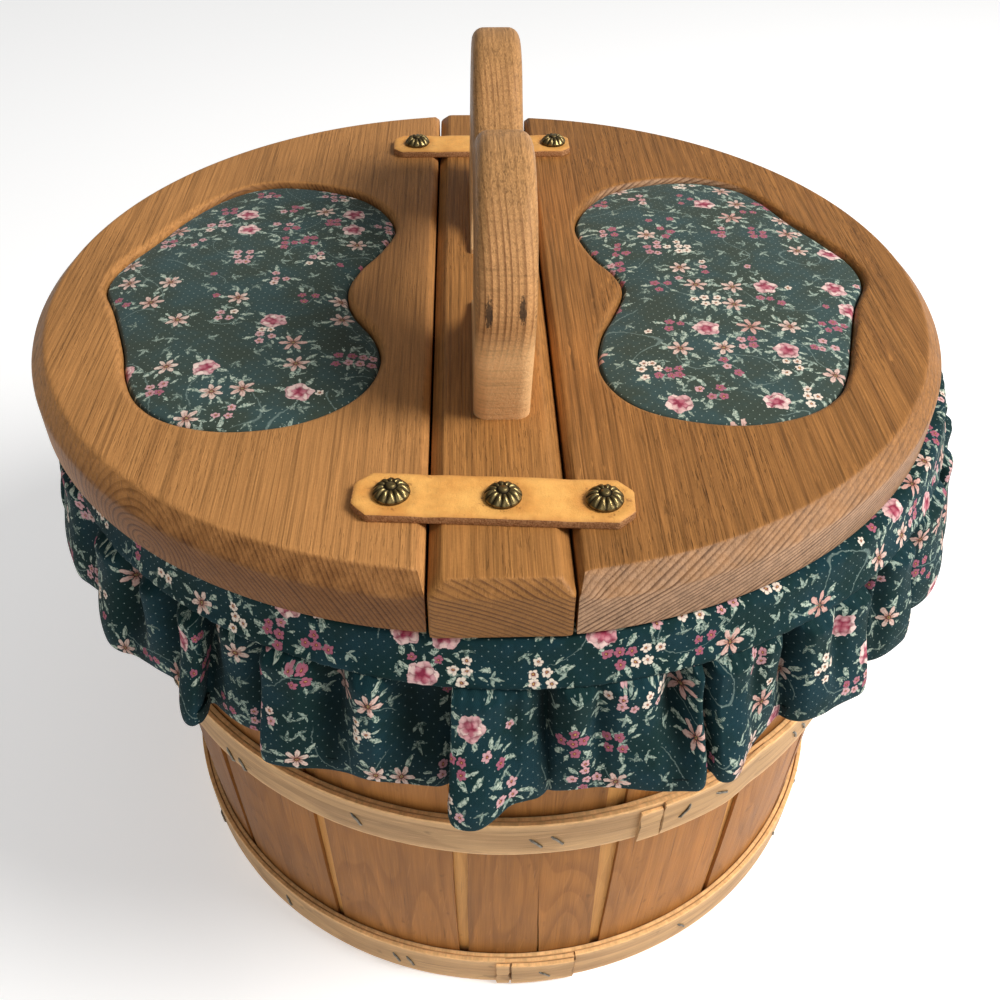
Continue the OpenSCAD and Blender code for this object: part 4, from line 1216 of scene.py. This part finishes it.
# folds seen from the front: azimuth and radius of the hem's line, and how deep the cloth is drawn in under the seam
FOLDS = [(-165.5, 175, 1), (-164.6, 178.5, .6), (-163.2, 181.5, .1), (-160, 182.6, 0), (-156.5, 182, 0), (-153.6, 181.5, .1), (-151.6, 179, .5),
         (-149.6, 176.8, .9), (-147.8, 175.4, 1), (-145.8, 177, .6), (-144.4, 181, .1), (-141.6, 183.2, 0), (-139.6, 182.2, .2), (-138, 179.6, .9),
         (-136, 178.3, .7), (-134.2, 177.5, .1), (-132.3, 176.4, .2), (-130.6, 175.6, .9), (-129.2, 177.6, .5), (-127.9, 182, .1),
         (-126.9, 185.6, 0), (-125.9, 186, 0), (-125.2, 183.6, .1), (-125.5, 179.5, .5), (-126.2, 176, 1), (-125.6, 174.6, 1), (-124.2, 175.2, .7),
         (-122.6, 175.8, .35), (-120.4, 176.1, .35), (-118.9, 175.4, .7), (-117.9, 174.6, 1), (-117.4, 177, .7), (-117.2, 181, .2),
         (-116.6, 184.4, 0), (-115.2, 184.5, 0), (-113, 182.8, 0), (-111.2, 181, .4), (-109.6, 180, 1), (-107.9, 179.8, .5), (-106.4, 180.4, 0),
         (-104.9, 180.4, 0), (-103.4, 179.6, .5), (-101.6, 178.9, 1), (-99.8, 178.4, 1), (-98.4, 178, 1), (-97.2, 176.2, 1), (-96.7, 178.5, .7),
         (-97.1, 184.5, .15), (-97.1, 190, 0), (-96.2, 192.8, 0), (-94.4, 193, 0), (-92.9, 189.4, .1), (-91.4, 184.2, .3), (-90, 182.4, .3),
         (-88.7, 181.2, .6), (-87.9, 179.3, 1), (-87.6, 178.3, 1), (-86.9, 178.9, .4), (-85.4, 179.4, 0), (-83.9, 179.5, .1), (-82.6, 179.6, .45),
         (-81.2, 180.3, .1), (-79.2, 181.8, 0), (-77.2, 183.8, .1), (-75.8, 185, .6), (-74.6, 186, 1), (-73.6, 187.2, .6), (-72.8, 188, .1),
         (-72.1, 187, .1), (-71.9, 183.4, .6), (-71.9, 180.6, 1), (-71.3, 180.6, 1), (-70.9, 184.4, .3), (-70.4, 187.8, 0), (-69.3, 189.4, 0),
         (-68.1, 187.6, 0), (-67, 183.2, .1), (-65.6, 180, .4), (-64.2, 178, .2), (-62.6, 176.2, .3), (-61, 174.6, .9), (-60.3, 174.6, 1),
         (-59.9, 177.4, .4), (-58.8, 180.2, 0), (-56.6, 181.8, 0), (-54.6, 182.2, .4), (-52.9, 183, .1), (-51, 184, 0), (-49.9, 183, .1),
         (-49.8, 179.5, .6), (-49.6, 176.2, 1), (-48.4, 175.2, 1), (-47, 176.6, .4), (-45.8, 179, .7), (-44.4, 180.8, .2), (-42.4, 182.2, 0),
         (-40.6, 182.8, 0), (-39.6, 181, .2), (-39.5, 177.6, .7), (-38.6, 175.8, 1), (-37, 176.4, .6), (-35.4, 179.6, .2), (-32.6, 182.6, 0),
         (-29.6, 183.6, 0), (-27.6, 182.6, .1), (-26.6, 179.6, .5), (-26.2, 176, 1)]


def all_folds():
    """The front's folds, and folds of the same kind round the rest of the basket."""
    r2 = np.random.default_rng(21)
    pts = list(FOLDS)
    a, end = -25.4, 194.0
    widths = []
    while a + sum(widths) < end - 6:
        widths.append(7.5 + 6.5 * r2.random())
    k = (end - a) / sum(widths)
    for w in widths:
        w *= k
        c = 181.5 + 3.5 * r2.random()
        v = 174.8 + 2.6 * r2.random()
        over = 0.9 * (r2.random() - 0.3)
        pts += [(a, v, 1), (a + 0.07 * w, v + 0.3 * (c - v), .6), (a + 0.07 * w - 0.2 * over, v + 0.75 * (c - v), .15), (a + 0.15 * w, c - 0.3, 0),
                (a + 0.32 * w, c, 0)]
        if w > 10:
            pts += [(a + 0.44 * w, c - 1.6, .3), (a + 0.52 * w, c - 2.4, .9), (a + 0.61 * w, c - 1.7, .4)]
        else:
            pts += [(a + 0.50 * w, c - 0.9, .25)]
        c2 = c - 1.5 + 3.5 * r2.random()
        pts += [(a + 0.76 * w, c2 - 0.3, 0), (a + 0.90 * w, c2, 0), (a + 0.95 * w + 0.25 * over, c2 - 1.5, .1),
                (a + 0.95 * w + 0.35 * over, (c2 + v) / 2, .6)]
        a += w
    return pts


def ruffle():
    pts = np.array(all_folds())
    m = len(pts)
    sub = 5
    idx = [(i + k) % m for i in range(m) for k in (-1, 0, 1, 2)]
    ctl = pts[idx].reshape(m, 4, 3).copy()
    for i in range(m):
        for k in range(4):
            j = i + k - 1
            if j < 0:
                ctl[i, k, 0] -= 360
            elif j >= m:
                ctl[i, k, 0] += 360
    q = np.array([cr(ctl[i, 0], ctl[i, 1], ctl[i, 2], ctl[i, 3], j / sub) for i in range(m) for j in range(sub)])
    ha, hr, deep = q[:, 0], q[:, 1], np.clip(q[:, 2], 0, 1)
    nc = len(q)
    # long folds stand out less and hang lower
    out = np.maximum(0.0, hr - 184.0) * 0.4
    hz = 176.6 - out * 1.57 + np.array([1.3 * nz(a * 0.11, 2.0) for a in ha])
    hr = hr - out
    hx, hy = hr * np.cos(np.radians(ha)), hr * np.sin(np.radians(ha))
    seg = np.hypot(np.roll(hx, -1) - hx, np.roll(hy, -1) - hy)
    # the cloth's own coordinate also counts the folds drawn in under the seam
    rt = 176.4 - 10.0 * deep
    tx, ty = rt * np.cos(np.radians(ha)), rt * np.sin(np.radians(ha))
    seg_t = np.hypot(np.roll(tx, -1) - tx, np.roll(ty, -1) - ty)
    seg = np.maximum(seg, 0.5 * seg + 0.5 * seg_t)
    s = np.concatenate([[0], np.cumsum(seg)[:-1]])
    total = float(seg.sum())
    # azimuth at the seam: overhangs straightened out
    sa = ha.copy()
    for _ in range(14):
        prv, nxt = np.roll(sa, 1), np.roll(sa, -1)
        prv[0] -= 360
        nxt[-1] += 360
        sa = (prv + 2 * sa + nxt) / 4
    rows = 34
    drop = 43.0
    loops = []
    for j in range(rows + 1):
        t = j / rows
        leave = smooth(0.0, 0.11, t)
        low = smooth(0.22, 1.0, t) * 0.9 + 0.10 * t
        ga = smooth(0.0, 0.55, t)
        ring = []
        for c in range(nc):
            a = sa[c] + (ha[c] - sa[c]) * ga
            top = 170.2 + (rt[c] - 170.2) * leave
            r = top + (hr[c] - rt[c]) * low * leave
            r += 0.55 * math.sin(2 * PI * s[c] / 4.4 + 2.0 * nz(s[c] * 0.05, 1.0)) * math.exp(-t * 11)
            r += 0.50 * nz(s[c] * 0.13, t * 2.0, 3.0) * math.exp(-t * 3)
            r += 0.8 * math.sin(PI * t) * (1 - deep[c]) + 0.75 * nz(s[c] * 0.035, t * 1.7, 8.0) * smooth(0, 0.3, t)
            z = SEAM_Z + 1.4 + (hz[c] - SEAM_Z - 1.4) * t
            # clear of the wall and of the rim hoop's staples
            r = max(r, 166.8 if z > 212 else 163.5)
            ring.append((a, r, z))
        loops.append(ring)
    # turned hem: under and up inside
    last = loops[-1]
    for dr, dz in ((-0.5, -0.35), (-1.05, 0.1), (-1.35, 1.4), (-1.4, 3.2), (-1.35, 5.2)):
        loops.append([(a, r + dr, z + dz) for a, r, z in last])
    verts, flat, fold_shade = [], [], []
    for j, ring in enumerate(loops):
        for c, (a, r, z) in enumerate(ring):
            verts.append(polar(a, r, z))
            v = drop * min(1.0, j / rows) + (0 if j <= rows else (0.5, 1.1, 2.3, 4.1, 6.1)[j - rows - 1])
            flat.append((s[c], -v - 60.0, 0.0))
            t = min(1.0, j / rows)
            # painted shade: darker down the deep folds, fading towards the hem, and inside the turned hem
            fold_shade.append(float(np.clip(deep[c] * 1.25 - 0.20, 0, 1)) * (1 - 0.45 * t) * smooth(0.0, 0.06, t) + (0.6 if j > rows else 0.0))
    nr = len(loops)
    faces = []
    for j in range(nr - 1):
        for c in range(nc):
            a, b = j * nc + c, j * nc + (c + 1) % nc
            faces.append((a, a + nc, b + nc, b))
    # the cloth is cut open at its joining seam, where its length starts and ends
    ob = seam_open("ruffle_cloth", verts, faces, flat, nc, nr, total, fold_shade)
    md = ob.modifiers.new("smooth_cloth", "SUBSURF")
    md.levels = md.render_levels = 1
    md = ob.modifiers.new("thickness", "SOLIDIFY")
    md.thickness = 0.45 * MM
    md.offset = -1.0
    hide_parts("skirt_ruffle")
    return ob, total


def seam_open(name, verts, faces, flat, nc, nr, total, fold_shade=None):
    """Cuts a ring of cloth open at its joining seam, so that the cloth coordinate runs from 0 to its full length."""
    extra = {}
    verts, flat = list(verts), list(flat)
    fold_shade = list(fold_shade) if fold_shade else [0.0] * len(verts)
    for j in range(nr):
        extra[j * nc] = len(verts)
        fold_shade.append(fold_shade[j * nc])
        verts.append(verts[j * nc])
        f = flat[j * nc]
        flat.append((f[0] + total, f[1], f[2]))
    out = []
    for f in faces:
        cols = [i % nc for i in f]
        if 0 in cols and nc - 1 in cols:
            f = tuple(extra[i] if i % nc == 0 else i for i in f)
        out.append(f)
    return build(name, verts, out, M_CALICO, "basket", (), {"flat": flat, "fold_shade": fold_shade})


def skirt_band():
    nc = 720
    # from the fold over the elastic, down the outside, round the lower fold and up to the seam
    prof = [(-6.6, 161.2, 235.22), (-5.0, 162.8, 235.30), (-3.0, 164.8, 235.32), (-1.4, 166.4, 235.25), (0.0, 167.7, 234.8), (1.1, 168.5, 234.0),
            (2.2, 168.95, 233.0), (4.0, 169.3, 231.2), (6.5, 169.7, 228.8), (9.0, 170.2, 226.3), (11.5, 170.9, 223.9), (13.6, 171.6, 221.9), (15.2, 172.2, 220.4),
            (16.4, 172.5, 219.2), (17.2, 172.35, 218.4), (18.0, 171.7, 217.9), (18.9, 170.9, 218.0), (20.0, 170.5, 219.0), (22.0, 170.2, 221.0), (24.0, 169.9, 223.0)]
    circ = 2 * PI * 171
    verts, flat = [], []
    for j, (v, r, z) in enumerate(prof):
        low = smooth(233, 219, z) if v > 0 and v < 18.5 else (1.0 if v >= 18.5 else 0)
        for c in range(nc):
            a = -180 + 360.0 * c / nc
            ca, sa = math.cos(math.radians(a)), math.sin(math.radians(a))
            soft = 0.0
            if v > 1:
                soft += 0.55 * low * nz(ca * 6, sa * 6, z * 0.05)
                soft += 0.22 * low * nz(ca * 26, sa * 26, z * 0.10)
            gather = 0.20 * math.sin(math.radians(a) * 190 + 3 * nz(ca * 9, sa * 9)) * (0 if v < 0 else math.exp(-v / 5.0))
            if v > 16:
                gather += 0.16 * math.sin(math.radians(a) * 230 + 4 * nz(ca * 9, sa * 9, 5))
            zz = z
            if v > 12:
                zz += 0.5 * nz(ca * 4, sa * 4, 9.0) + 0.2 * nz(ca * 20, sa * 20, 3.0)
            verts.append(polar(a, r + soft + gather, zz))
            flat.append((c / nc * circ, -v, 0.0))
    nr = len(prof)
    faces = []
    for j in range(nr - 1):
        for c in range(nc):
            a, b = j * nc + c, j * nc + (c + 1) % nc
            faces.append((a, a + nc, b + nc, b))
    ob = seam_open("band_cloth", verts, faces, flat, nc, nr, circ)
    md = ob.modifiers.new("thickness", "SOLIDIFY")
    md.thickness = 0.4 * MM
    md.offset = -1.0
    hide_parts("skirt_band")
    return ob


ruf, ruf_len = ruffle()
skirt_band()


# ------------------------------------------------------------------ straps
TACKS = {"front": (-31.5, 1.3, 31.0), "back": (-31.0, 1.0, 33.0)}
STRAPS = {"front": (-43.0, 40.0, 5.0, -133.5, -4.0), "back": (-42.0, 40.5, 4.0, 122.0, 0.0)}


def to_part(which, u, v, z):
    x0, x1, clip, y, turn = STRAPS[which]
    t = math.radians(turn)
    return (BOARD_X + u * math.cos(t) - v * math.sin(t), y + u * math.sin(t) + v * math.cos(t), TOP_Z + z)


def strap_half(which, side):
    x0, x1, clip, y, turn = STRAPS[which]
    mid = TACKS[which][1]
    a, b = (x0, mid) if side < 0 else (mid, x1)
    cols = int((b - a) / 0.6)
    W = 9.5
    sec = []
    nt = 22
    # loop across the strip: top from -1 to 1, cut edge, underside, cut edge
    for i in range(nt + 1):
        sec.append((-1 + 2 * i / nt, 1.0, 0.0))
    sec += [(1.0, 0.88, 0.7), (1.0, 0.7, 1.0), (1.0, 0.5, 1.0), (1.0, 0.3, 1.0), (1.0, 0.1, 1.0)]
    for i in range(9):
        sec.append((1 - 2 * i / 8, 0.0, 0.6))
    sec += [(-1.0, 0.1, 1.0), (-1.0, 0.3, 1.0), (-1.0, 0.5, 1.0), (-1.0, 0.7, 1.0), (-1.0, 0.88, 0.7)]
    m = len(sec)
    verts, sd, nt_, ed = [], [], [], []
    us = [a + (b - a) * i / cols for i in range(cols + 1)]
    if side < 0:
        us = [a] + [a + 0.12] + us[1:]
    else:
        us = us[:-1] + [b - 0.12, b]
    for ci, u in enumerate(us):
        d_end = min(u - x0, x1 - u)
        hw = W if d_end > clip else W - clip + d_end
        hw -= 0.5 * math.exp(-max(0.0, d_end) / 0.35)
        hw += 0.16 * nz(u * 0.06, 3.0, y)
        for (s, h, sidew) in sec:
            v = s * hw
            fuzz = 0.0
            if sidew == 1.0:
                fuzz = 0.20 * nz(u * 1.7, h * 6.0, y + s) + 0.12 * nz(u * 4.1, h * 9.0, y + s)
                v = s * (hw + fuzz + 0.10)
            near_edge = min(hw - abs(v), d_end) if sidew == 0 else 0
            z = STRAP_T * h
            if h == 1.0:
                z -= 0.34 * math.exp(-max(0.0, near_edge) / 0.7)
                z += 0.07 * nz(u * 0.10, v * 0.10, y)
                for tx in TACKS[which]:
                    rr = math.hypot(u - tx, v)
                    z -= 0.30 * math.exp(-((rr - 5.6) / 1.8) ** 2)
                    if rr < 5.0:
                        z = min(z, STRAP_T - 0.12)
            # a shallow sag over the gaps beside the bridge board
            for hx in (-20.9, 20.9):
                z -= 0.28 * math.exp(-((u - hx) / 3.5) ** 2) * (h if h else 0)
            if d_end < 0.3 and sidew == 0 and h == 1.0:
                z -= 0.1
            verts.append(to_part(which, u + (0.15 * nz(v * 1.2, h * 5, 2.0) if d_end < 0.05 else 0), v, z + 0.0))
            isend = d_end < 0.10
            sd.append(1.0 if isend else sidew)
            ed.append(math.exp(-max(0.0, near_edge) / 0.9) if sidew == 0 else 0)
            rr = min(math.hypot(u - tx, v) for tx in TACKS[which])
            nt_.append(math.exp(-((rr - 6.3) / 1.7) ** 2))
    faces = []
    for c in range(len(us) - 1):
        for i in range(m):
            p, p1 = c * m + i, c * m + (i + 1) % m
            faces.append((p, p + m, p1 + m, p1))
    faces.append([i for i in range(m)])
    faces.append([(len(us) - 1) * m + i for i in range(m)][::-1])
    word = "left" if side < 0 else "right"
    ob = build(f"strap_{which}_{word}_leather", verts, faces, M_LEATHER, None, (), {"side": sd, "near_tack": nt_, "edge": ed}, sharp=60)
    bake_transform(ob)
    if side < 0:
        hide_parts(f"strap_{which}_{word}", f"strap_{which}_middle")
    else:
        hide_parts(f"strap_{which}_{word}")
    return ob


for w in ("front", "back"):
    for s in (-1, 1):
        strap_half(w, s)


# ------------------------------------------------------------------ tacks
def tack(verts, faces, low, which, tx, spin):
    base = len(verts)
    NT, petals = 120, 12
    rad = [0.0, 0.35, 0.8, 1.15, 1.4, 1.6, 1.8, 2.0, 2.3, 2.7, 3.2, 3.7, 4.2, 4.6, 4.95, 5.25, 5.5, 5.65, 5.7, 5.55, 5.0]
    lean = 0.02
    for k, r in enumerate(rad):
        for i in range(NT):
            th = 2 * PI * i / NT
            pet = abs(math.cos(th * petals / 2))
            lo = 0.0
            if r < 1.5:
                z = 3.05 + 0.65 * math.sqrt(max(0.0, 1 - (r / 1.5) ** 2))
                rr = r
                lo = smooth(0.9, 1.5, r) * 0.7
            elif r < 2.05:
                z = 2.75
                rr = r
                lo = 1.0
            elif k < 18:
                u = (r - 2.0) / 3.7
                dome = 2.95 - 2.1 * u ** 2.2
                groove = (1 - pet ** 0.8)
                z = dome + 0.35 * math.sin(PI * min(1, u * 1.05)) - 0.85 * groove * math.sin(PI * min(1.0, 0.12 + u * 0.95)) ** 0.6
                rr = r - 0.16 * groove * u
                lo = smooth(0.18, 0.75, groove) * 0.95
            elif k == 18:
                z, rr, lo = 0.35, r - 0.22 * (1 - pet ** 0.8), 0.6
            elif k == 19:
                z, rr, lo = 0.0, r, 0.8
            else:
                z, rr, lo = -0.12, r, 1.0
            a = th + spin
            verts.append(to_part(which, tx + rr * math.cos(a), rr * math.sin(a), STRAP_T + z + lean * rr * math.cos(th)))
            low.append(lo)
    faces += [(base + k * NT + i, base + (k + 1) * NT + i, base + (k + 1) * NT + (i + 1) % NT, base + k * NT + (i + 1) % NT)
              for k in range(len(rad) - 1) for i in range(NT)]
    # shank through the leather into the wood
    sb = len(verts)
    for r, z in ((1.0, -0.1), (1.0, -9.0), (0.15, -12.5)):
        for i in range(12):
            th = 2 * PI * i / 12
            verts.append(to_part(which, tx + r * math.cos(th), r * math.sin(th), STRAP_T + z))
            low.append(0.3)
    for k in range(2):
        for i in range(12):
            faces.append((sb + k * 12 + i, sb + (k + 1) * 12 + i, sb + (k + 1) * 12 + (i + 1) % 12, sb + k * 12 + (i + 1) % 12))


def tacks():
    for name, body, items, nodes in (
            ("tacks_left_heads", "left_lid", (("front", 0, 0.1), ("back", 0, 0.5)), ("tacks_left",)),
            ("tacks_right_heads", "right_lid", (("front", 2, 0.3), ("back", 2, 0.2)), ("tacks_right",)),
            ("tack_front_head", "basket", (("front", 1, 0.2),), ("tack_front_centre",)),
            ("tack_back_head", "basket", (("back", 1, 0.0),), ("tack_back_centre",))):
        v, f, lo = [], [], []
        for which, k, spin in items:
            tack(v, f, lo, which, TACKS[which][k], spin)
        build(name, v, f, M_TACK, body, nodes, {"low": lo})


tacks()


# ------------------------------------------------------------------ floor and light
def floor_material():
    g = G("pale_floor")
    n = g.noise(g.coords(), 3.0, 2.0)
    col = g.bright((0.90, 0.90, 0.90, 1.0), (n - 0.5) * 0.01 + 1.0)
    return g.done(col, 0.8, Specular_IOR_Level=0.1, Emission_Color=(1.0, 1.0, 1.0, 1.0), Emission_Strength=0.40)


fm = bpy.data.meshes.new("floor")
fm.from_pydata([(-6, -6, 0), (6, -6, 0), (6, 6, 0), (-6, 6, 0)], [], [(0, 1, 2, 3)])
fm.materials.append(floor_material())
floor = bpy.data.objects.new("floor", fm)
scene.collection.objects.link(floor)

world = bpy.data.worlds.new("studio")
scene.world = world
world.use_nodes = True
bg = world.node_tree.nodes["Background"]
bg.inputs[0].default_value = (1.0, 1.0, 1.0, 1.0)
# a pale room, brighter on the right
wc = world.node_tree.nodes.new("ShaderNodeTexCoord")
ws = world.node_tree.nodes.new("ShaderNodeSeparateXYZ")
wm = world.node_tree.nodes.new("ShaderNodeMapRange")
wm.inputs["From Min"].default_value = -1.0
wm.inputs["From Max"].default_value = 1.0
wm.inputs["To Min"].default_value = 0.06
wm.inputs["To Max"].default_value = 0.52
world.node_tree.links.new(wc.outputs["Generated"], ws.inputs[0])
world.node_tree.links.new(ws.outputs[0], wm.inputs["Value"])
world.node_tree.links.new(wm.outputs[0], bg.inputs[1])


def area(name, loc, aim, size, watts, color=(1, 1, 1)):
    d = bpy.data.lights.new(name, "AREA")
    d.shape = "DISK"
    d.size = size
    d.energy = watts
    d.color = color
    o = bpy.data.objects.new(name, d)
    o.location = loc
    o.rotation_euler = (Vector(aim) - Vector(loc)).to_track_quat("-Z", "Y").to_euler()
    scene.collection.objects.link(o)


area("key", (1.12, -0.34, 1.42), (0, 0, 0.18), 0.8, 31, (1.0, 0.985, 0.96))
area("front", (-0.35, -1.4, 1.15), (0, 0, 0.2), 0.9, 2.6, (1.0, 0.99, 0.97))
